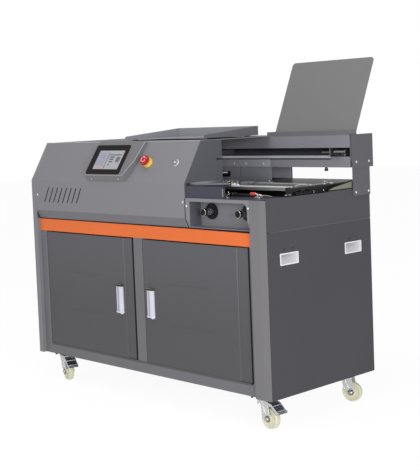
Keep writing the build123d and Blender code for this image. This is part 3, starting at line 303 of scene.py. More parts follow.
def axisOf(tree, coordinates, axis):
    split = tree.nodes.new("ShaderNodeSeparateXYZ")
    tree.links.new(coordinates, split.inputs[0])
    return split.outputs[axis]


def patterned(name, group, label, value, sockets, colour, spread, rough, strength, depth):
    # a shared group, with one value set, drives colour, roughness and bump by its three named sockets
    material, tree, shader, coordinates = newMaterial(name)
    node = tree.nodes.new("ShaderNodeGroup")
    node.node_tree = group
    node.inputs[label].default_value = value
    tree.links.new(coordinates, node.inputs["Vector"])
    tint, finish, height = (node.outputs[socket] for socket in sockets)
    tree.links.new(mottled(tree, tint, colour, spread), shader.inputs["Base Color"])
    tree.links.new(mapRange(tree, finish, *rough), shader.inputs["Roughness"])
    bump = tree.nodes.new("ShaderNodeBump")
    bump.inputs["Strength"].default_value = strength
    bump.inputs["Distance"].default_value = depth
    tree.links.new(height, bump.inputs["Height"])
    tree.links.new(bump.outputs["Normal"], shader.inputs["Normal"])
    return material, tree, shader, coordinates


def powderPaint(name, colour, roughness=0.45, grain=900, depth=0.0004, spread=0.06, sheen=0.35):
    rough = (roughness - 0.05, roughness + 0.05)
    sockets = ("Shade", "Shade", "Height")
    material, _, shader, _ = patterned(
        name, powderGroup, "Grain", grain, sockets, colour, spread, rough, 0.25, depth
    )
    shader.inputs["Specular IOR Level"].default_value = sheen
    return material


def brushed(name, colour, rough, stretch, depth, spread, metallic):
    sockets = ("Cloud", "Lines", "Lines")
    found = patterned(name, brushGroup, "Stretch", stretch, sockets, colour, spread, rough, 0.2, depth)
    found[2].inputs["Metallic"].default_value = metallic
    return found


def brushedMetal(name, colour, roughness=0.3, stretch=(8, 900, 900), depth=5e-5, spread=0.12, metallic=1):
    return brushed(name, colour, (roughness * 0.75, roughness * 1.3), stretch, depth, spread, metallic)[0]


# painted shade: the metal turns to a dark colour above the given height
def topShadedMetal(name, colour, shadeColour, high):  # bright up to a height in metres, dark above it
    material, tree, shader, coordinates = brushed(name, colour, (0.3, 0.4), (900, 900, 12), 3e-5, 0.05, 0.35)
    mix = tree.nodes.new("ShaderNodeMix")
    mix.data_type = "RGBA"
    below, above = (socket for socket in mix.inputs if socket.type == "RGBA")
    above.default_value = (*shadeColour, 1)
    tree.links.new(shader.inputs["Base Color"].links[0].from_socket, below)
    tree.links.new(maths(tree, "GREATER_THAN", axisOf(tree, coordinates, "Z"), high), mix.inputs["Factor"])
    mixed = [socket for socket in mix.outputs if socket.type == "RGBA"][0]
    tree.links.new(mixed, shader.inputs["Base Color"])
    return material


def mouldedPlastic(name, colour, roughness=0.4, grain=1500, depth=0.0001, gloss=0.5):
    return powderPaint(name, colour, roughness, grain, depth, 0.04, gloss)


def litPanel(name, colour, strength):
    material, tree, shader, coordinates = newMaterial(name)
    tint = mottled(tree, noise(tree, coordinates, 60), colour, 0.06)
    tree.links.new(tint, shader.inputs["Base Color"])
    tree.links.new(tint, shader.inputs["Emission Color"])
    shader.inputs["Emission Strength"].default_value = strength
    shader.inputs["Roughness"].default_value = 0.2
    return material


# painted highlight and painted shadow: the colour follows the shade attribute
def shieldPaint(name, stops):  # colour by the piece's own shade attribute
    material, tree, shader, coordinates = newMaterial(name)
    mask = tree.nodes.new("ShaderNodeAttribute")
    mask.attribute_name = "shade"
    tree.links.new(colourRamp(tree, mask.outputs["Fac"], stops), shader.inputs["Base Color"])
    tree.links.new(mapRange(tree, noise(tree, coordinates, 400), 0.3, 0.4), shader.inputs["Roughness"])
    shader.inputs["Specular IOR Level"].default_value = 0.3
    return material


def stepColours(material, axis, low, high, stops):
    # new colours between two places, in metres, on one axis of the piece
    tree = material.node_tree
    shader = tree.nodes["Principled BSDF"]
    coordinates = [node for node in tree.nodes if node.type == "TEX_COORD"][0].outputs["Object"]
    tree.nodes.remove(shader.inputs["Base Color"].links[0].from_node)
    share = mapRange(tree, axisOf(tree, coordinates, axis), 0, 1, low, high, "SMOOTHSTEP")
    tree.links.new(colourRamp(tree, share, stops), shader.inputs["Base Color"])


# Each finish: the CAD nodes that wear it, its colour and roughness, then what else differs from the usual
# values of its function.
casterNames = ("front_left", "front_right", "rear_left", "rear_right")
paints = {
    "greyCoat": ("left_side_panel dial_panel", (0.228, 0.225, 0.245), 0.42),
    "hoodCoat": ("screen_hood", (0.19, 0.186, 0.194), 0.42),
    "frameCoat": ("base_frame", (0.162, 0.16, 0.173), 0.42),
    "pillarCoat": ("right_pillar", (0.183, 0.178, 0.188), 0.42),
    "sideCoat": ("right_side_panel rear_panel electrical_box", (0.062, 0.061, 0.072), 0.46),
    "upperCoat": ("right_upper_panel", (0.07, 0.069, 0.081), 0.46),
    "towerCoat": ("tower_post tower_cap", (0.115, 0.112, 0.127), 0.46),
    "slateCoat": ("housing_end_wall", (0.104, 0.104, 0.122), 0.36),
    "beamCoat": ("beam_cover waste_box", (0.232, 0.229, 0.255), 0.42),
    "boardCoat": ("", (0.19, 0.186, 0.19), 0.5),
    "supportCoat": ("table_supports", (0.02, 0.02, 0.022), 0.5),
    "orangeCoat": ("front_beam", (0.81, 0.168, 0.037), 0.42),
    # dark paint as painted shade on the dial pocket's wall
    "pocketShadeCoat": ("", (0.092, 0.094, 0.113), 0.46),
    "sillCoat": ("", (0.091, 0.089, 0.097), 0.46),
    # pale paint as the painted highlight on the folds
    "foldHighlightCoat": ("", (0.55, 0.55, 0.58), 0.4),
    "innerCoat": ("inner_wall", (0.262, 0.264, 0.308), 0.42),
    # pale grey: painted light on sheets in the bay, painted shade in the handle grooves, and the gauge strips
    "paleGreyCoat": ("", (0.37, 0.37, 0.42), 0.5),
    "oliveEdge": ("", (0.2, 0.2, 0.16), 0.35),
    "glossyGuard": ("milling_guard", (0.065, 0.067, 0.088), 0.34, 700, 0.0001, 0.05, 0.15),
}
metals = {
    "zincPlate": ("machine_deck caster_plates", (0.6, 0.61, 0.62), 0.32, (120, 120, 120), 2e-5, 0.08),
    "groundSteel": (
        "nip_rear_jaw clamp_front_plate milling_cutter glue_roller_left glue_roller_right",
        (0.56, 0.56, 0.55), 0.4, (900, 8, 900),
    ),
    "tableSteel": ("nip_table", (0.085, 0.085, 0.076), 0.28, (6, 500, 500)),
    "brightEdge": ("", (0.9, 0.9, 0.93), 0.34, (8, 700, 700)),
    "darkSleeve": ("", (0.3, 0.3, 0.31), 0.22, (300, 900, 300), 5e-5, 0.12, 0.8),
    "dullNickel": ("guide_shaft rail_stop", (0.36, 0.35, 0.35), 0.4, (400, 400, 400)),
    "darkChrome": (
        "brake_pedal_front_left brake_pedal_front_right",
        (0.25, 0.27, 0.32), 0.2, (300, 300, 300), 3e-5,
    ),
    "hardChrome": ("power_button", (0.75, 0.75, 0.76), 0.12, (900, 20, 20), 2e-5, 0.04),
    "castAluminium": ("milling_motor glue_tank", (0.55, 0.55, 0.54), 0.4, (400, 400, 400), 0.0001),
    "brassFitting": ("", (0.72, 0.5, 0.16), 0.25, (300, 300, 300)),
    "nickelScrew": ("panel_screws", (0.78, 0.78, 0.78), 0.3, (500, 500, 500), 5e-5, 0.12, 0.4),
    "carriageSteel": ("clamp_carriage", (0.15, 0.15, 0.16), 0.4, (400, 400, 400), 5e-5, 0.12, 0.6),
    "brightZinc": (
        " ".join("caster_fork_" + name for name in casterNames),
        (0.74, 0.75, 0.74), 0.36, (60, 60, 60), 1e-5, 0.04, 0.7,
    ),
}
plastics = {
    "blackPlastic": ("door_pivot_pins", (0.014, 0.014, 0.015), 0.38),
    "dialPlastic": ("left_dial right_dial", (0.007, 0.007, 0.008), 0.42, 1500, 0.0001, 0.25),
    "bezelPlastic": ("touch_screen", (0.014, 0.013, 0.012), 0.5, 1500, 0.0001, 0.15),
    "redPlastic": ("estop_stem estop_cap", (0.47, 0.006, 0.014), 0.25),
    "yellowPlastic": ("estop_body", (0.95, 0.7, 0.11), 0.3),
    "palePlastic": ("side_pulls", (0.74, 0.74, 0.77), 0.4),
    # near white as a painted highlight on the front jaw
    "highlightWhite": ("", (0.93, 0.94, 1), 0.35),
    "creamNylon": (
        " ".join("caster_wheel_" + name for name in casterNames),
        (0.72, 0.71, 0.53), 0.35, 200, 3e-5,
    ),
    # black for rubber parts, and also for painted shadow lines and painted shade in slots
    "rubberAndShadowBlack": ("", (0.012, 0.012, 0.012), 0.7, 1500, 0.0001, 0.1),
    "arrowPrint": ("", (0.8, 0.42, 0.44), 0.4),
    "redGrip": ("", (0.6, 0.05, 0.045), 0.35),
    "amberGlue": ("", (0.62, 0.36, 0.08), 0.12),
}
glows = {
    "displayBack": ("", (0.262, 0.268, 0.287), 0.52),
    "displayList": ("", (0.245, 0.245, 0.3), 0.52),
    "displayFoot": ("", (0.26, 0.23, 0.24), 0.6),
    "displayStrip": ("", (0.15, 0.17, 0.16), 0.55),
    "displayRow": ("", (0.15, 0.15, 0.21), 0.55),
    "displayBar": ("", (0.06, 0.06, 0.07), 0.4),
    "displayBlock": ("", (0.12, 0.1, 0.11), 0.45),
}
# Finishes with shading painted on: nodes, function, its values after the colour, then axis, start and end
# in metres and the (share, colour) stops between them.
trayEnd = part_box("top_tray")[1][0]
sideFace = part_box("right_side_panel")[1][0]
shadedFinishes = {
    # painted shade on the outer face of the tray's right end
    "trayCoat": (
        "top_tray", powderPaint, [0.38],
        "X", trayEnd - 0.0012, trayEnd - 0.0004, (0, (0.305, 0.31, 0.34)), (1, (0.15, 0.15, 0.166)),
    ),
    # painted shade along the paper board's lowest edge
    "shelfCoat": (
        "paper_board", powderPaint, [0.5],
        "Z", 1.0195, 1.0215, (0, (0.153, 0.15, 0.154)), (1, (0.19, 0.186, 0.19)),
    ),
    # painted shade on the housing cover's lowest band
    "coverCoat": (
        "housing_cover", powderPaint, [0.42],
        "Z", 0.7255, 0.7275, (0, (0.178, 0.176, 0.192)), (1, (0.228, 0.225, 0.245)),
    ),
    # painted light: the doors grow lighter towards the top
    "leafCoat": (
        "left_door right_door", powderPaint, [0.46],
        "Z", 0.3, 0.66, (0, (0.089, 0.087, 0.095)), (1, (0.108, 0.106, 0.117)),
    ),
    # painted shade inside the beam: dark at the top, lighter towards the bottom
    "slotShadeCoat": (
        "", powderPaint, [0.5], "Z", 0.9, 0.955, (0, (0.2, 0.2, 0.25)), (1, (0.035, 0.035, 0.045)),
    ),
    # painted light: the guide strip is brightest at its left end
    "satinStrip": (
        "guide_strip", brushedMetal, [0.5, (8, 900, 900), 5e-5, 0.12, 0],
        "X", 0.03, 0.42, (0, (0.8, 0.81, 0.89)), (1, (0.38, 0.39, 0.43)),
    ),
    # painted shade: the front jaw is nearly black below its top
    "jawSteel": (
        "nip_front_jaw", brushedMetal, [0.4, (900, 8, 900)],
        "Z", 0.8215, 0.8235, (0, (0.02, 0.02, 0.022)), (1, (0.56, 0.56, 0.55)),
    ),
    # painted shade: the pull scoops darken with depth
    "pullPlastic": (
        "", mouldedPlastic, [0.4], "X", sideFace - 0.014, sideFace + 0.0012,
        (0, (0.46, 0.46, 0.49)), (0.93, (0.6, 0.6, 0.63)), (1, (0.8, 0.8, 0.83)),
    ),
}
handleTop = boxOf("left_door_handle")[1][2]
# painted shade on the door handles: dark over their top 5.05 mm, bright metal below
handleTopShade = {"high": 5.05, "bright": (0.76, 0.78, 0.85), "dark": (0.04, 0.038, 0.028)}
# colours of the guard shield's painted shadow line, its wall colour and its painted highlight
shieldStops = [(0, (0.02, 0.02, 0.026)), (0.3, (0.12, 0.12, 0.145)), (1, (0.66, 0.66, 0.72))]
finishes, finished = {}, []


def keepFinish(name, material, nodes):  # keeps a finish under its name and puts it on its CAD nodes
    finishes[name] = material
    for node in nodes.split():
        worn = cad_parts[node].data.materials
        worn.clear()
        worn.append(material)
        finished.append(node)


makers = ((powderPaint, paints), (brushedMetal, metals), (mouldedPlastic, plastics), (litPanel, glows))
for make, table in makers:
    for name, (nodes, *values) in table.items():
        keepFinish(name, make(name, *values), nodes)
for name, (nodes, make, values, axis, low, high, *stops) in shadedFinishes.items():
    material = make(name, stops[-1][1], *values)
    stepColours(material, axis, low, high, stops)
    keepFinish(name, material, nodes)
high = (handleTop - handleTopShade["high"]) / 1000
shadedHandle = topShadedMetal("handleWithShadedTop", handleTopShade["bright"], handleTopShade["dark"], high)
keepFinish("handleWithShadedTop", shadedHandle, "left_door_handle right_door_handle")
keepFinish("shieldPaintedSheen", shieldPaint("shieldPaintedSheen", shieldStops), "")
print("finishes on", len(finished), "nodes")

# Touch screen: a lit display in the sunk window. Tiles are (left, low, wide, high) in shares of the window.
rowHeights = np.linspace(0.22, 0.93, 7, endpoint=False)
display = {
    "centre": (501.5, 80), "size": (152, 85), "out": 5.5, "thick": 0.1,
    "tilt": math.atan2(11, 168), "foot": 4, "lift": 26.5,
    "tiles": {  # finish, layer and tiles: two panes with a narrow strip between, plain rows and plain blocks
        "displaySheet": ("displayBack", 0, [(0, 0, 1, 1)]),
        "displayList": ("displayList", 1, [(0, 0.2, 0.4, 0.8)]),
        "displayFoot": ("displayFoot", 1, [(0, 0, 0.4, 0.2)]),
        "displayStrip": ("displayStrip", 1, [(0.4, 0.04, 0.06, 0.84)]),
        "displayRows": ("displayRow", 2, [(0.035, low, 0.295, 0.022) for low in rowHeights]
                        + [(0.235, rowHeights[i] + 0.045, 0.07, 0.03) for i in (1, 3, 4)]),
        "displayBars": ("displayBar", 2, [(0.49, 0.74, 0.44, 0.05)]
                        + [(0.52, low, 0.16, 0.06) for low in (0.62, 0.5, 0.37)]),
        "displayBlocks": ("displayBlock", 2, [(0.78, 0.38, 0.15, 0.28), (0.52, 0.22, 0.09, 0.05)]),
    },
}
screenUp = slopeUp * math.cos(display["tilt"]) - slopeOut * math.sin(display["tilt"])
screenOut = slopeOut * math.cos(display["tilt"]) + slopeUp * math.sin(display["tilt"])


def screenSlab(tile, layer):  # one tile in one of the display's thin layers
    left, low, wide, high = tile
    width, height = display["size"]
    x = display["centre"][0] + (left - 0.5) * width
    up = display["centre"][1] + (low - 0.5) * height
    out = display["out"] + layer * display["thick"]
    corner = onSlope(x, display["foot"], display["lift"]) + screenUp * up + screenOut * out
    return slabGrid(corner, right * wide * width, screenUp * high * height, screenOut * display["thick"])


def addDisplay():
    for name, (finish, layer, tiles) in display["tiles"].items():
        addPiece(name, [screenSlab(tile, layer) for tile in tiles], finish, smooth=False)


# Stop and start buttons on the slanted panel. Profiles are (out, radius).
stopButton = {
    "x": 711, "up": 85, "top": 31.05, "arrowRadius": (8.6, 12.4), "from": 20, "sweep": 70,
    "steps": 12, "head": 6.4, "flare": 2, "print": 0.15, "skirt": ((17.3, 13), (18.95, 18.6)),
}
startButton = {
    "x": 865, "up": 86, "ring": ((0.1, 11.6), (0.1, 14.2), (1.4, 14.2), (2.6, 13), (2.6, 11.6)),
    "cap": ((7.05, 10.2), (7.6, 9.4), (7.8, 6), (7.3, 5), (7.2, 0.4)),
    "lens": ((7.25, 4.6), (8.2, 4.2), (8.9, 2.6), (9.1, 0.3)),
}


def arrowGrids():
    # band between two radii over one sweep, with a triangle ahead of its end, three times round
    low, high = stopButton["arrowRadius"]
    middle, steps, flare = (low + high) / 2, stopButton["steps"], stopButton["flare"]
    face = onSlope(stopButton["x"], stopButton["up"], stopButton["top"])
    grids = []
    for i in range(3):
        start = math.radians(120 * i + stopButton["from"])
        angle = start + np.linspace(0, math.radians(stopButton["sweep"]), steps)
        radius = np.repeat([high, low], steps)
        turn = np.concatenate([angle, angle[::-1]])
        tip = angle[-1] + stopButton["head"] / middle
        head = np.array([[high + flare, angle[-1]], [middle, tip], [low - flare, angle[-1]]])
        for r, a in ((radius, turn), head.T):
            outline = face + (r * np.cos(a))[:, None] * right + (r * np.sin(a))[:, None] * slopeUp
            grids.append(prismGrid(outline, slopeOut * stopButton["print"]))
    return grids


def addButtons():
    addPiece("stopArrows", arrowGrids(), "arrowPrint", "stop_cap", smooth=False)
    skirt = turnedGrid(stopButton["skirt"], onSlope(stopButton["x"], stopButton["up"], 0), slopeOut)
    addPiece("stopSkirt", [skirt], "redPlastic", "stop_cap")
    place = onSlope(startButton["x"], startButton["up"], 0)
    ring, cap = (turnedGrid(startButton[k], place, slopeOut) for k in ("ring", "cap"))
    lens = turnedGrid(startButton["lens"], place, slopeOut, 24)
    addPiece("startRing", [ring], "nickelScrew", ring=True)
    addPiece("startCap", [cap], "dullNickel", "start_button")
    addPiece("startLens", [lens], "palePlastic", "start_button")


# Dials: chrome ring, stepped sleeve and sunk face on the black adjusters. Profiles are (out, radius) from the
# adjuster's front, and from its disc for the sleeve's foot.
dialTrim = {
    "disc": 51, "face": ((0.05, 9.5), (0.35, 9.5), (0.35, 2), (0.05, 2)),
    "ring": ((-1.9, 12.7), (-1.9, 14.2), (-0.9, 14.2), (-0.2, 13.1), (-0.2, 12.7)),
    "sleeve": ((-12.15, 6.15), (-12.15, 12.6), (-15, 12.6), (-15.5, 11.6)),
    "sleeveFoot": ((12, 11.6), (11.4, 12.6), (0.3, 12.6), (0.3, 6.15)),
}


def addDialTrim(node, body):
    low, high = boxOf(node)
    place = ((low[0] + high[0]) / 2, low[1], (low[2] + high[2]) / 2)
    foot = tuple((low[1] - dialTrim["disc"] + out, radius) for out, radius in dialTrim["sleeveFoot"])
    for label, profile, finish in (
        ("Ring", dialTrim["ring"], "hardChrome"), ("Sleeve", dialTrim["sleeve"] + foot, "darkSleeve"),
        ("Face", dialTrim["face"], "bezelPlastic"),
    ):
        grid = turnedGrid(profile, place, forward)
        addPiece(body + label, [grid], finish, body, ring=True)


# Blocks by a CAD node: finish, slot, two corners and the edge radius. Each of a corner's x, y and z is 0
# or 1, for the node's low or high corner, and what is added to it. Door handles get end blocks and a grey
# strip of painted shade in the groove.
handleBlocks = {
    "Foot": (
        "nickelScrew", "black_plastic", ((1, -16), (1, -8), (0, -4.6)), ((1, -4), (1, 0.05), (0, -0.1)), 1,
    ),
    "Head": ("oliveEdge", "black_plastic", ((0, 3), (1, -8), (1, 0.1)), ((0, 26), (1, 0.05), (1, 3.1)), 1),
    # a grey strip as painted shade in the handle's groove
    "GrooveShade": (
        "paleGreyCoat", "black_plastic", ((0, 18.5), (0, -0.3), (0, 6)), ((0, 23), (0, 0.4), (1, -8)), 0.3,
    ),
}


def addBlockBy(node, name, block, body="cabinet"):
    finish, slotName, *corners, radius = block
    box = boxOf(node)
    low, high = ([box[end][k] + offset for k, (end, offset) in enumerate(corner)] for corner in corners)
    roundedBlocks(name, [(low, high, radius)], finish, body)


def addHandleEnds():
    for side in ("left", "right"):
        for label, block in handleBlocks.items():
            addBlockBy(side + "_door_handle", side + "_door_body" + label, block, side + "_door_body")


# Painted shadow lines: black strips in the gaps right of the doors, over the coloured beam and in the seam
# beside the dials.
gapShadowsAndSill = {
    "depth": (15.1, 17), "low": 158, "high": 637.8, "radius": 0.8,
    "spans": ((624.4, 633), (1241, 1247.6)), "sill": ((74.5, 15.3, 149.6), (1236.5, 17.5, 157.4), 0.5),
    "beam": ((30, 691.8), (1267, 691.8), (1267, 685.2), (940, 687.4), (30, 688.4)),
    "beamDeep": 0.85,
    "seam": ((950, -0.2, 800), (950, -0.2, 726), (950, 15.2, 693)), "seamRadius": 1.3,
}


def addGapShadowsAndSill():
    y0, y1 = gapShadowsAndSill["depth"]
    low, high, radius = (gapShadowsAndSill[k] for k in ("low", "high", "radius"))
    strips = [((x0, y0, low), (x1, y1, high), radius) for x0, x1 in gapShadowsAndSill["spans"]]
    roundedBlocks("doorGapShadows", strips, "rubberAndShadowBlack")
    roundedBlocks("doorSill", [gapShadowsAndSill["sill"]], "sillCoat")
    beam = prismGrid([(x, y0, z) for x, z in gapShadowsAndSill["beam"]], (0, gapShadowsAndSill["beamDeep"], 0))
    seam = tubeGrid(evenRoute(gapShadowsAndSill["seam"]), gapShadowsAndSill["seamRadius"], 8)
    addPiece("coverShadowLines", [beam, seam], "rubberAndShadowBlack", smooth=False)


# Screws: domed heads in place of the plain hexagons, small heads on the hood's foot, dark studs.
screws = {
    "head": (4.6, 2.6), "front": ((38.3, 791), (938, 785), (957, 772), (1263, 773)),
    "beam": ((751, 897), (816, 897), (912, 897)),
    "tower": ((7.1, 498, 904), (7.1, 573, 904), (4, 495, 793), (4, 570, 793)),
    "hoodHead": (2.9, 1.2), "hood": (416, 581), "hoodFoot": (1.5, -5), "hoodLean": (17.5, 34),
    "hoodUp": 15, "stud": (3.7, 1.2), "studHeight": 627, "studs": (93.5, 136.5, 448, 491),
    "knob": ((0.1, 5), (5, 5), (6, 7), (13, 7), (14.5, 5)), "knobPlace": (1218, 12),
}


def addScrews():
    head = domeProfile(*screws["head"])
    beamLow = boxOf("beam_cover")[0]
    endFace = boxOf("right_side_panel")[1][0]
    domes = [turnedGrid(head, (x, 0, z), forward, 20) for x, z in screws["front"]]
    domes += [turnedGrid(head, (x, beamLow[1], z), forward, 20) for x, z in screws["beam"]]
    domes += [turnedGrid(head, (endFace + x, y, z), right, 20) for x, y, z in screws["tower"]]
    heads = addPiece("panHeads", domes, "nickelScrew")
    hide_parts("panel_screws")
    # the hood's foot leans along the slope by one number and out of it by the other
    along, out = screws["hoodLean"]
    lean = slopeUp * along + slopeOut * out
    lean /= np.linalg.norm(lean)
    footOut = np.cross(right, lean)
    small = domeProfile(*screws["hoodHead"])
    lift = lean * screws["hoodUp"] + footOut * 0.05
    dots = [turnedGrid(small, onSlope(x, *screws["hoodFoot"]) + lift, footOut, 16) for x in screws["hood"]]
    addPiece("hoodHeads", dots, "nickelScrew")
    stud, z = domeProfile(*screws["stud"]), screws["studHeight"]
    dots = [turnedGrid(stud, (endFace, y, z), right, 16) for y in screws["studs"]]
    x, deep = screws["knobPlace"]
    dots.append(turnedGrid(screws["knob"], (x, beamLow[1] + deep, beamLow[2]), -upward, 24))
    addPiece("darkStuds", dots, "blackPlastic")


# Side pulls: shallow scoops in thin bright frames. Pairs are half lengths and half heights.
pullShape = {
    "flange": (48, 21), "rim": 5, "proud": 2.2, "cup": (43, 16), "back": 19, "soft": 0.6,
    "corner": 2.5, "shallow": 2, "deep": 14, "rings": 9, "steps": 5, "side": 9,
}


def scoopDepth(y, z):
    # shallow + deep * up^0.8 * (1 - back^3); up and back run from 0 to 1 over the mouth
    up, back = np.clip((z + 1) / 2, 0, 1), np.clip((y + 1) / 2, 0, 1)
    return pullShape["shallow"] + pullShape["deep"] * (up ** 0.8) * (1 - back ** 3)


def rectangleRing(half, corner):
    # rounded rectangle in y and z, every side in equal steps and every corner in a quarter turn
    quarter = np.linspace(0, math.pi / 2, pullShape["steps"])
    points = []
    for turn, (sy, sz) in enumerate(((1, 1), (-1, 1), (-1, -1), (1, -1))):
        centre = np.array([sy * (half[0] - corner), sz * (half[1] - corner)])
        angle = quarter + turn * math.pi / 2
        points.append(centre + corner * np.stack([np.cos(angle), np.sin(angle)], 1))
    corners = np.concatenate(points)
    share = np.linspace(0, 1, pullShape["side"], endpoint=False)[:, None]
    ring = []
    for index, (here, there) in enumerate(zip(corners, np.roll(corners, -1, axis=0))):
        longSide = index % pullShape["steps"] == pullShape["steps"] - 1
        ring.append(here + (there - here) * share if longSide else here[None])
    return np.concatenate(ring)


def pullGrid(centreY, centreZ, face):
    flange, cup, proud = np.array(pullShape["flange"]), np.array(pullShape["cup"]), pullShape["proud"]
    mouth, corner, soft = flange - pullShape["rim"], pullShape["corner"], pullShape["soft"]
    rows = []
    for half, x in (
        (cup, -pullShape["back"]), (cup, -0.05), (flange, 0.1), (flange, proud - 0.7), (flange - 0.7, proud),
        (mouth + soft, proud), (mouth, proud - soft),
    ):
        ring = rectangleRing(half, corner)
        rows.append(np.column_stack([np.full(len(ring), face + x), ring]))
    for share in np.linspace(1, 0.04, pullShape["rings"]):
        half = mouth * share
        ring = rectangleRing(half, min(corner, 0.8 * half[1]))
        depth = scoopDepth(ring[:, 0] / mouth[0], ring[:, 1] / mouth[1])
        rows.append(np.column_stack([face + proud - soft - depth, ring]))
    return np.stack(rows) + np.array([0, centreY, centreZ])


def addPulls():
    low, high = boxOf("side_pulls")
    face = boxOf("right_side_panel")[1][0]
    z, reach = (low[2] + high[2]) / 2, pullShape["flange"][0]
    grids = [pullGrid(y, z, face) for y in (low[1] + reach, high[1] - reach)]
    scoops = addPiece("pullScoops", grids, "pullPlastic")
    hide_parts("side_pulls")


# Bent edges of the sheets: pale beads as the painted highlight where a fold catches the light. The hood's
# line is (x, up, out).
edgeBead = {
    "radius": 1, "housing": (31, 949), "back": 0.2, "hoodRadius": 0.8,
    "hood": ((388.5, 17.6, 25.3), (613.7, 17.6, 25.3), (648.6, 80, 21.2), (662.6, 171.6, 15.2)),
}


def addEdgeBeads():
    top = [(x, slopeRun + edgeBead["back"], kneeHeight + slopeRise) for x in edgeBead["housing"]]
    rim = evenRoute([onSlope(*place) for place in edgeBead["hood"]])
    addPiece("topFold", [tubeGrid(top, edgeBead["radius"], 10)], "foldHighlightCoat")
    addPiece("hoodFold", [tubeGrid(rim, edgeBead["hoodRadius"], 10)], "foldHighlightCoat")


# Shield on the guard with a painted highlight band and a painted shadow line, and a bright strip as a painted
# highlight on the guard's end.
guardTrim = {
    "front": 9, "rear": 187, "wide": 186, "cut": (33, 43), "lift": 9, "fall": 5, "thick": 0.8,
    "steps": 40, "line": 1138.6, "lineSize": (1.4, 0.6, 28), "lineDrop": 36,
}
shieldBand = {
    "place": (951, 28), "turn": 31.8, "fade": 118, "edge": 7, "darkest": 0.3, "frontFade": (22, 92),
}


def shieldShade(points):
    # a painted highlight that rises towards a line across the sheet and a painted shadow that drops to dark
    # beyond it, times a fade from the front edge
    turn, dark = math.radians(shieldBand["turn"]), shieldBand["darkest"]
    x, y = points[:, 0] - shieldBand["place"][0], points[:, 1] - shieldBand["place"][1]
    gap = x * math.sin(turn) - y * math.cos(turn)
    rising = dark + (1 - dark) * np.clip(1 + gap / shieldBand["fade"], 0, 1) ** 1.5
    shade = np.where(gap < 0, rising, np.clip(1 - gap / shieldBand["edge"], 0, 1))
    start, length = shieldBand["frontFade"]
    return shade * (dark + (1 - dark) * np.clip((points[:, 1] - start) / length, 0, 1))


def addGuardTrim():
    # sheet on the guard's top that rises into the end wall: height = lift * exp(-distance from it / fall)
    x0 = boxOf("housing_end_wall")[1][0]
    low, high = boxOf("milling_guard")
    cutY, cutX = guardTrim["cut"]
    y = np.linspace(guardTrim["front"], guardTrim["rear"], guardTrim["steps"])[:, None]
    slope = (guardTrim["wide"] - cutX) / (guardTrim["rear"] - cutY)
    wide = np.where(y < cutY, guardTrim["wide"], guardTrim["wide"] - (y - cutY) * slope)
    across = 0.1 + wide * np.linspace(0, 1, guardTrim["steps"])[None, :] ** 1.6
    rise = guardTrim["lift"] * np.exp(-across / guardTrim["fall"])
    top = np.stack([x0 + across, y + 0 * across, high[2] + guardTrim["thick"] + rise], -1)
    under = np.stack([x0 + across, y + 0 * across, high[2] + 0.1 + 0 * across], -1)
    grid = np.concatenate([under, top[:, ::-1]], axis=1)
    shield = addPiece("guardShield", [grid], "shieldPaintedSheen")
    attribute = shield.data.attributes.new("shade", "FLOAT", "POINT")
    attribute.data.foreach_set("value", shieldShade(grid.reshape(-1, 3)).astype(np.float32))
    # a thin bright strip as the painted highlight on the guard's end edge
    wide, deep, tall = guardTrim["lineSize"]
    corner = (guardTrim["line"], low[1] - 0.5, high[2] - guardTrim["lineDrop"])
    line = slabGrid(corner, (wide, 0, 0), (0, 0, tall), (0, deep, 0))
    addPiece("guardEdgeHighlight", [line], "nickelScrew", smooth=False)


# Casters: each spot is x, y and the angle it is turned to. Their pieces are drawn about the swivel axis.
casterSpots = ((110, 53, -16), (1259, 53, -3), (110, 500, 35), (1259, 500, 18))
wheel = {  # profile from the bore over hub, dish, groove and shoulder to the crowned tread, as (side, radius)
    "radius": 37.5, "trail": 30, "steps": 72, "profile": (
        (13.4, 5.15), (13.4, 10.5), (12.6, 11.8), (9.2, 13), (8.6, 22), (9.6, 26.4), (8.6, 27.2),
        (8.6, 28.4), (10.4, 29.4), (11.6, 31.5), (11.7, 33.2), (10.6, 35.2), (8, 36.7), (4, 37.35),
        (0, 37.5),
    ),
}
forkShape = {
    "side": 18, "crown": 99.8, "bead": 1.3, "beadOut": 0.6, "nut": (7.6, 4.6), "nutOut": 3,
    "edges": (
        ((-15, 98), (-3, 75.5), (0, 57.5), (9, 45.5), (18, 39)), ((8, 98), (11, 80), (17, 64), (24, 52)),
        ((31, 98), (35, 78), (38.5, 58), (41, 44)),
    ),
    "ring": ((0.1, 11), (1.3, 11), (1.3, 8.8), (0.1, 8.8)),
    "cap": ((-3.9, 14), (-4.4, 12), (-6.5, 9), (-6.5, 0.3)),
    "seal": ((3.5, 21.15), (3.5, 23.5), (8, 23.5), (8, 21.15)),
}
pedalShape = {
    "hinge": (27, 89), "side": 21.1, "thick": 1.4, "flange": (
        (-8, 0), (-6, 7), (4, 9.5), (12, 8.5), (28, 5.5), (44, -8.5), (57, -19.5), (63, -18.5), (62, -24.5),
        (55, -26.5), (40, -15.5), (24, -3), (8, -2), (4, -8), (-5, -7),
    ),
    "treads": ((33, 1.8), (52, 1.3), (57.5, 1.3)), "treadWide": 19, "treadDrop": (4.2, 1.4),
    "treadRadius": 0.6, "bend": (27, 6.6), "fall": 0.87,
}


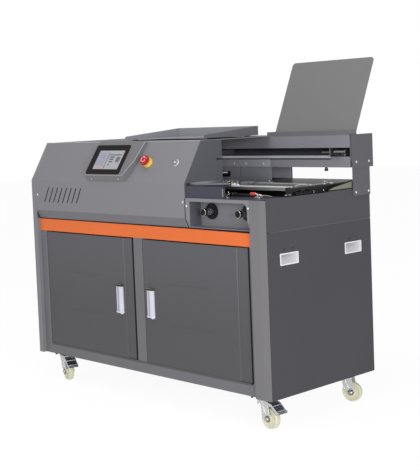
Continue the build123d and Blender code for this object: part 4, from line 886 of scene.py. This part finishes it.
def addCaster(name, spot):
    fork, side, axle = "fork_" + name, forkShape["side"], np.array([wheel["trail"], 0, wheel["radius"]])
    profile = list(wheel["profile"])
    profile += [(-a, b) for a, b in profile[-2::-1]]
    grid = turnedGrid(profile, axle, (0, 1, 0), wheel["steps"])
    tyre = addPiece(
        "tyre_" + name, [grid], "creamNylon", "wheel_" + name, ring=True, spot=spot
    )
    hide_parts("caster_wheel_" + name)
    nut, nuts, rings, beads = domeProfile(*forkShape["nut"]), [], [], []
    for sign in (-1, 1):
        out = np.array([0, sign, 0])
        nuts.append(turnedGrid(nut, axle + out * (side + forkShape["nutOut"]), out, 28))
        rings.append(turnedGrid(forkShape["ring"], axle + out * side, out, 32))
        for edge in forkShape["edges"]:
            route = [(x, sign * (side + forkShape["beadOut"]), z) for x, z in edge]
            beads.append(tubeGrid(route, forkShape["bead"], 10))
    cap, seal = (turnedGrid(forkShape[k], (0, 0, forkShape["crown"]), upward, 32) for k in ("cap", "seal"))
    addPiece("nuts_" + name, nuts, "zincPlate", fork, spot=spot)
    addPiece("beads_" + name, beads + [cap], "brightZinc", fork, spot=spot)
    addPiece("crownSeal_" + name, [seal], "blackPlastic", ring=True, spot=spot)
    addPiece("axleRings_" + name, rings, "rubberAndShadowBlack", fork, ring=True, spot=spot)


def addPedalTrim(name, spot):
    pedal, (x, z) = "pedal_" + name, pedalShape["hinge"]
    flanges = []
    for sign in (-1, 1):
        outline = [(x + a, sign * pedalShape["side"], z + b) for a, b in pedalShape["flange"]]
        flanges.append(prismGrid(outline, (0, sign * pedalShape["thick"], 0)))
    wide, (low, high), (bendX, bendZ) = pedalShape["treadWide"], pedalShape["treadDrop"], pedalShape["bend"]
    treads = []
    for a, half in pedalShape["treads"]:
        top = z + bendZ - (a - bendX) * pedalShape["fall"]
        corners = (x + a - half, -wide, top - low), (x + a + half, wide, top - high)
        treads.append(roundedGrid(*corners, pedalShape["treadRadius"]))
    addPiece("pedalFlanges_" + name, flanges, "brightZinc", pedal, smooth=False, spot=spot)
    addPiece("pedalTreads_" + name, treads, "brightEdge", pedal, spot=spot)


# Nip station. Blocks are (low corner, high corner, edge radius), rods (radius, sides, route),
# pegs ((height, radius) profile, place, sides). The front jaw's pieces travel with it.
trayFittings = {
    "origin": (0, 0, 803.15),
    "blocks": {
        "clampFeet": ("zincPlate", "zinc_steel", (
            ((1246, 52, 0), (1270, 70, 6), 1), ((1256, 54, 5), (1259, 68, 15), 0.8),
            ((1020, 118, 0), (1032, 138, 4), 1), ((1126, 20, 0), (1146, 34, 4), 1),
        )),
        "clampGrip": ("redGrip", "red_plastic", (((1224, 52, 10), (1246, 65, 21), 4),)),
        "trayBoxes": ("blackPlastic", "black_plastic", (
            ((1070, 100, 0), (1096, 126, 12), 1.5), ((1104, 96, 0), (1190, 120, 9), 2),
        )),
    },
    "rods": {
        "clampArms": ("hardChrome", "polished_steel", (
            (2.2, 12, ((1270, 71, 8), (1262, 66, 12), (1250, 61, 14), (1244, 59, 16))),
            (1.8, 12, ((1262, 64, 10), (1276, 84, 8), (1284, 100, 3))),
            (1.6, 12, ((1132, 27, 3), (1138, 30, 12), (1146, 36, 15))),
        )),
    },
    "pegs": {
        "brassFittings": ("brassFitting", "ground_steel", (
            (
                ((0.05, 6.5), (5, 6.5), (5.2, 4.2), (9, 4.2), (9.2, 5.4), (13, 5.4), (14, 4.4)),
                (1046, 128, 0), 24,
            ),
            (((0.05, 4), (5, 4), (5.4, 2.6), (9, 2.6), (9.4, 0.4)), (1062, 118, 0), 20),
        )),
    },
}
bolt = domeProfile(4.2, 3.2)
boltPlaces = (
    (1313, 172), (1325, 338), (1313, 276), (968, 170), (1325, 380), (985, 420), (1180, 540), (1251, 429),
)
tableFittings = {
    "origin": (0, 0, 834),
    "blocks": {
        "gaugeStrips": ("paleGreyCoat", "polished_steel", (
            ((984, 263, 6.05), (1036, 285, 7.6), 0.6), ((1064, 263, 6.05), (1134, 285, 7.6), 0.6),
            ((1290, 264, 0), (1318, 372, 1.2), 0.5),
        )),
        "scraperPosts": ("zincPlate", "zinc_steel", (
            ((964, 196, 0), (975, 204, 12), 0.8), ((964, 222, 0), (975, 230, 12), 0.8),
            ((964, 252, 0), (975, 260, 12), 0.8), ((963, 206, 0), (977, 216, 7), 1),
            ((963, 234, 0), (977, 246, 8), 1),
        )),
        "scraperBar": ("oliveEdge", "dark_paint", (((962, 194, 12.05), (976, 232, 16), 0.8),)),
        "scraperTip": ("brassFitting", "ground_steel", (((963, 232.2, 12.05), (976, 264, 15), 0.8),)),
    },
    "rods": {
        "tableWires": ("palePlastic", "polished_steel", (
            (1, 10, (
                (1309, 262, 1), (1307, 240, 5), (1313, 224, 7), (1306, 208, 4), (1312, 192, 3),
                (1322, 184, 1),
            )),
            (1.4, 10, ((1284, 398, 2), (1306, 384, 3), (1330, 366, 3))),
        )),
    },
    "pegs": {
        "tableBolts": ("nickelScrew", "screw_steel", [(bolt, (x, y, -0.05), 20) for x, y in boltPlaces]),
    },
}
jawFittings = {
    "origin": (0, 0, 834),
    "blocks": {
        # a near-white strip as a painted highlight along the front jaw's top edge
        "jawEdgeHighlight": ("highlightWhite", "polished_steel", (((1041, 168, 0.05), (1295, 196, 0.9), 0.4),)),
        "jawPads": ("palePlastic", "pull_plastic", (
            ((1012, 181, 0.05), (1029, 190, 8), 1), ((1034, 184, 0.05), (1043, 192, 6), 1),
        )),
    },
}
edgeRow = {
    "origin": (1336, 0, 805.2),
    "blocks": {
        "edgeBlocks": ("dialPlastic", "black_plastic", (
            ((-12, 170, 0), (-1, 209, 12.5), 1.5), ((-12, 214, 0), (-1, 257, 12.5), 1.5),
            ((-12, 262, 0), (-1, 291, 12.5), 1.5), ((-12, 296, 0), (-1, 329, 12.5), 1.5),
            ((-8, 120, 0), (-2, 164, 4.3), 1),
        )),
        "edgeClips": ("zincPlate", "zinc_steel", (
            ((-10, 118, 3.8), (-3, 127, 7.3), 1), ((-10, 138, 3.8), (-3, 147, 7.3), 1),
            ((-3, 264, 2), (-0.6, 266.4, 11.5), 0.5), ((-3, 318, 2), (-0.6, 320.4, 11.5), 0.5),
        )),
    },
}
edgeSeal = {  # hose up along the row's rear end, a seal along its foot, and the web between them
    "hose": (
        (345, 8.3), (354, 11.8), (368, 15.3), (390, 18.8), (412, 21.8), (446, 26.8), (474, 31.3),
        (479.6, 32.2),
    ),
    "hoseX": 1, "hoseRadius": 2.4, "foot": (1.2, 304, 3.2), "footRadius": 2.1, "webX": 0.6, "webThick": 0.8,
}


def addEdgeSeal():
    origin, hose = np.array(edgeRow["origin"]), edgeSeal["hose"]
    start, stop = hose[0][0], hose[-1][0]
    route = [origin + (edgeSeal["hoseX"], y, z) for y, z in hose]
    x, y0, z = edgeSeal["foot"]
    foot = [origin + (x, y, z) for y in np.linspace(y0, stop, 12)]
    tubes = [tubeGrid(route, edgeSeal["hoseRadius"], 14), tubeGrid(foot, edgeSeal["footRadius"], 12)]
    addPiece("edgeSeal", tubes, "rubberAndShadowBlack")
    web = [origin + (edgeSeal["webX"], y, z) for y, z in hose + ((stop, 0), (start, 0))]
    web = prismGrid(web, (edgeSeal["webThick"], 0, 0))
    addPiece("edgeWeb", [web], "oliveEdge", smooth=False)


# Behind and inside: wall socket, pale sheets of painted light in the bay, dark sheets of painted shade in the
# beam and the pocket, end plates, a painted shadow line under the strip, black fills of painted shade in the
# air slots, damper, glue and mains pins.
linings = {
    "origin": (0, 0, 0),
    "blocks": {
        "holeLiner": ("blackPlastic", "black_plastic", (((674, 476.2, 841), (726, 480.2, 869), 0.5),)),
        # pale sheets as painted light on the shaded rear wall of the bay and on the beam's low left face
        "bayLightSheets": ("paleGreyCoat", "housing_paint", (
            ((700, 591, 812), (946, 593.5, 883), 0.5), ((640, 469.2, 885.5), (948, 469.9, 918.5), 0.3),
        )),
        # a dark sheet at the back of the beam as painted shade seen through the slot
        "beamSlotShade": ("slotShadeCoat", "dark_paint", (((30, 588.5, 889), (1325, 591.5, 998), 0.8),)),
        # a dark sheet on the dial pocket's left wall as its painted shade
        "pocketWallShade": ("pocketShadeCoat", "dark_paint", (((973.1, 1, 697), (973.9, 58, 799.5), 0.3),)),
        "beamEnd": ("towerCoat", "dark_paint", (((1339.6, 470.5, 885.3), (1340.5, 481, 1003.2), 0.3),)),
        # a black strip under the guide strip as its painted shadow line
        "stripShadowLine": ("rubberAndShadowBlack", "black_plastic", (((60, 469.2, 914.6), (1252, 469.8, 918.6), 0.2),)),
        "boardEnd": ("boardCoat", "housing_paint", (
            ((1330.6, 471.5, 1003.7), (1332.8, 521.5, 1020.6), 0.5),
        )),
    },
    "rods": {
        "holeLever": ("palePlastic", "pull_plastic", (
            (3, 12, ((706, 476.2, 861), (700, 470, 861), (692, 465, 860.5), (676, 465, 858.5))),
        )),
    },
}
vents = {
    "count": 8, "start": 88, "step": 31, "lean": 34, "half": 2.95, "low": 761.4, "high": 823.6, "deep": 1.2,
}
damper = ("blackPlastic", "black_plastic", ((0, 47), (0, 0.5), (0, 0.3)), ((1, -20), (0, 11.5), (0, 7)), 1.5)
glueTop = 801.4 - boxOf("glue_tank")[0][2]
glueBath = (
    "amberGlue", "cast_aluminium",
    ((0, 4.2), (0, 4.2), (0, glueTop - 20)), ((1, -4.2), (1, -4.2), (0, glueTop)), 0.4,
)
inletPins = {
    "places": ((-7, -1.5), (7, -1.5), (0, 3)), "middle": (260, 260), "deep": (7.5, 2), "half": (1, 2.5),
}


def addInside():
    half, lean = vents["half"], vents["lean"]
    slots = []
    for i in range(vents["count"]):
        x = vents["start"] + i * vents["step"]
        low = [(x - half, 0.1, vents["low"]), (x + half, 0.1, vents["low"])]
        high = [(x + lean + half, 0.1, vents["high"]), (x + lean - half, 0.1, vents["high"])]
        slots.append(prismGrid(low + high, (0, vents["deep"], 0)))
    # black fills in the air slots as painted shade inside them
    addPiece("ventSlotShade", slots, "rubberAndShadowBlack", smooth=False)
    addBlockBy("rail_stop", "railDamper", damper)
    addBlockBy("glue_tank", "glueBath", glueBath)
    rear = boxOf("electrical_box")[1][1]
    (x, z), (back, front), (halfX, halfZ) = (inletPins[k] for k in ("middle", "deep", "half"))
    pins = [
        ((x + a - halfX, rear - back, z + b - halfZ), (x + a + halfX, rear - front, z + b + halfZ), 0.4)
        for a, b in inletPins["places"]
    ]
    roundedBlocks("inletPins", pins, "brassFitting")


addDisplay()
addButtons()
addDialTrim("left_dial", "left_adjuster")
addDialTrim("right_dial", "right_adjuster")
addHandleEnds()
addPulls()
addGapShadowsAndSill()
addEdgeBeads()
addScrews()
print("controls, handles and screws added")
for casterName, casterSpot in zip(casterNames, casterSpots):
    addCaster(casterName, casterSpot)
    if casterName.startswith("front"):
        addPedalTrim(casterName, casterSpot)
print("casters added")
addGuardTrim()
for table in (trayFittings, tableFittings, edgeRow, linings):
    addFittings(table)
addFittings(jawFittings, "nip_jaw")
addEdgeSeal()
addInside()
print("nip station and inner fittings added")

# Camera: place in machine millimetres, angles in degrees, focal length and centre in pixels of its frame.
view = {
    "place": (3790.6, -2666.6, 1095.8), "turn": 47.07, "lift": 4.106, "roll": -2.357,
    "focal": 1076.93, "centre": (179.6, 194.1), "frame": (420, 471), "sensor": 36, "reach": 60,
}


def addCamera():
    turn, lift, roll = (math.radians(view[k]) for k in ("turn", "lift", "roll"))
    aim = Matrix.Rotation(turn, 4, "Z") @ Matrix.Rotation(math.pi / 2 - lift, 4, "X")
    aim = aim @ Matrix.Rotation(roll, 4, "Z")
    data = bpy.data.cameras.new("studioCamera")
    camera = bpy.data.objects.new("studioCamera", data)
    bpy.context.scene.collection.objects.link(camera)
    camera.matrix_world = Matrix.Translation(Vector(at(view["place"]))) @ aim
    width, height = view["frame"]
    data.sensor_fit = "HORIZONTAL"
    data.sensor_width = view["sensor"]
    data.lens = view["focal"] / width * data.sensor_width
    data.shift_x = 0.5 - view["centre"][0] / width
    data.shift_y = (view["centre"][1] - height / 2) / width
    data.clip_end = view["reach"]
    bpy.context.scene.camera = camera


# Pale studio, in metres and watts. The machine gets less light from sky and floor than is seen of them.
studio = {
    "sky": 0.46, "seen": 1, "floorLight": 0.6, "floorSeen": 0.93, "floorTint": 0.1, "floorReach": 14,
    "lights": {
        "cameraFill": {"place": (4.2, -2.9, 1.2), "target": (0.3, 0, 0.8), "size": (2.4, 1.3), "power": 128},
        "frontPanel": {"place": (-0.3, -4.6, 2.2), "target": (-0.1, 0, 0.7), "size": (2.4, 1.6), "power": 24},
        "overhead": {"place": (0.4, -1.2, 3.6), "target": (0.3, 0.1, 0.9), "size": (2.4, 1.6), "power": 26},
    },
}


def addLight(name, place, target, size, power):
    data = bpy.data.lights.new(name, "AREA")
    data.shape = "RECTANGLE"
    data.size, data.size_y = size
    data.energy = power
    light = bpy.data.objects.new(name, data)
    light.location = Vector(place)
    light.rotation_euler = (Vector(target) - Vector(place)).to_track_quat("-Z", "Y").to_euler()
    bpy.context.scene.collection.objects.link(light)


def seenOrLight(tree, light, seen):  # one strength for what the machine gets, another for what is looked at
    path = tree.nodes.new("ShaderNodeLightPath")
    return mapRange(tree, path.outputs["Is Camera Ray"], light, seen, 0, 1)


def addWorld():
    world = bpy.data.worlds.new("paleStudio")
    bpy.context.scene.world = world
    world.use_nodes = True
    tree = world.node_tree
    background = tree.nodes["Background"]
    background.inputs["Color"].default_value = (1, 1, 1, 1)
    tree.links.new(seenOrLight(tree, studio["sky"], studio["seen"]), background.inputs["Strength"])


def addStudio():
    bpy.context.scene.view_settings.view_transform = "Standard"
    addWorld()
    for name, light in studio["lights"].items():
        addLight(name, **light)
    material, tree, shader, coordinates = newMaterial("paleFloor")
    tint = np.full(3, studio["floorTint"])
    ramp = colourRamp(tree, noise(tree, coordinates, 2), [(0.3, tint), (0.7, tint * 1.05)])
    glow = seenOrLight(tree, studio["floorLight"], studio["floorSeen"])
    tree.links.new(ramp, shader.inputs["Base Color"])
    tree.links.new(glow, shader.inputs["Emission Strength"])
    shader.inputs["Emission Color"].default_value = (1, 1, 1, 1)
    shader.inputs["Roughness"].default_value = 0.9
    shader.inputs["Specular IOR Level"].default_value = 0
    mesh = bpy.data.meshes.new("studioFloor")
    reach = studio["floorReach"]
    corners = [(-reach, -reach, 0), (reach, -reach, 0), (reach, reach, 0), (-reach, reach, 0)]
    mesh.from_pydata(corners, [], [(0, 1, 2, 3)])
    floor = bpy.data.objects.new("studioFloor", mesh)
    bpy.context.scene.collection.objects.link(floor)
    floor.data.materials.append(material)


addCamera()
addStudio()
print("camera and studio set")
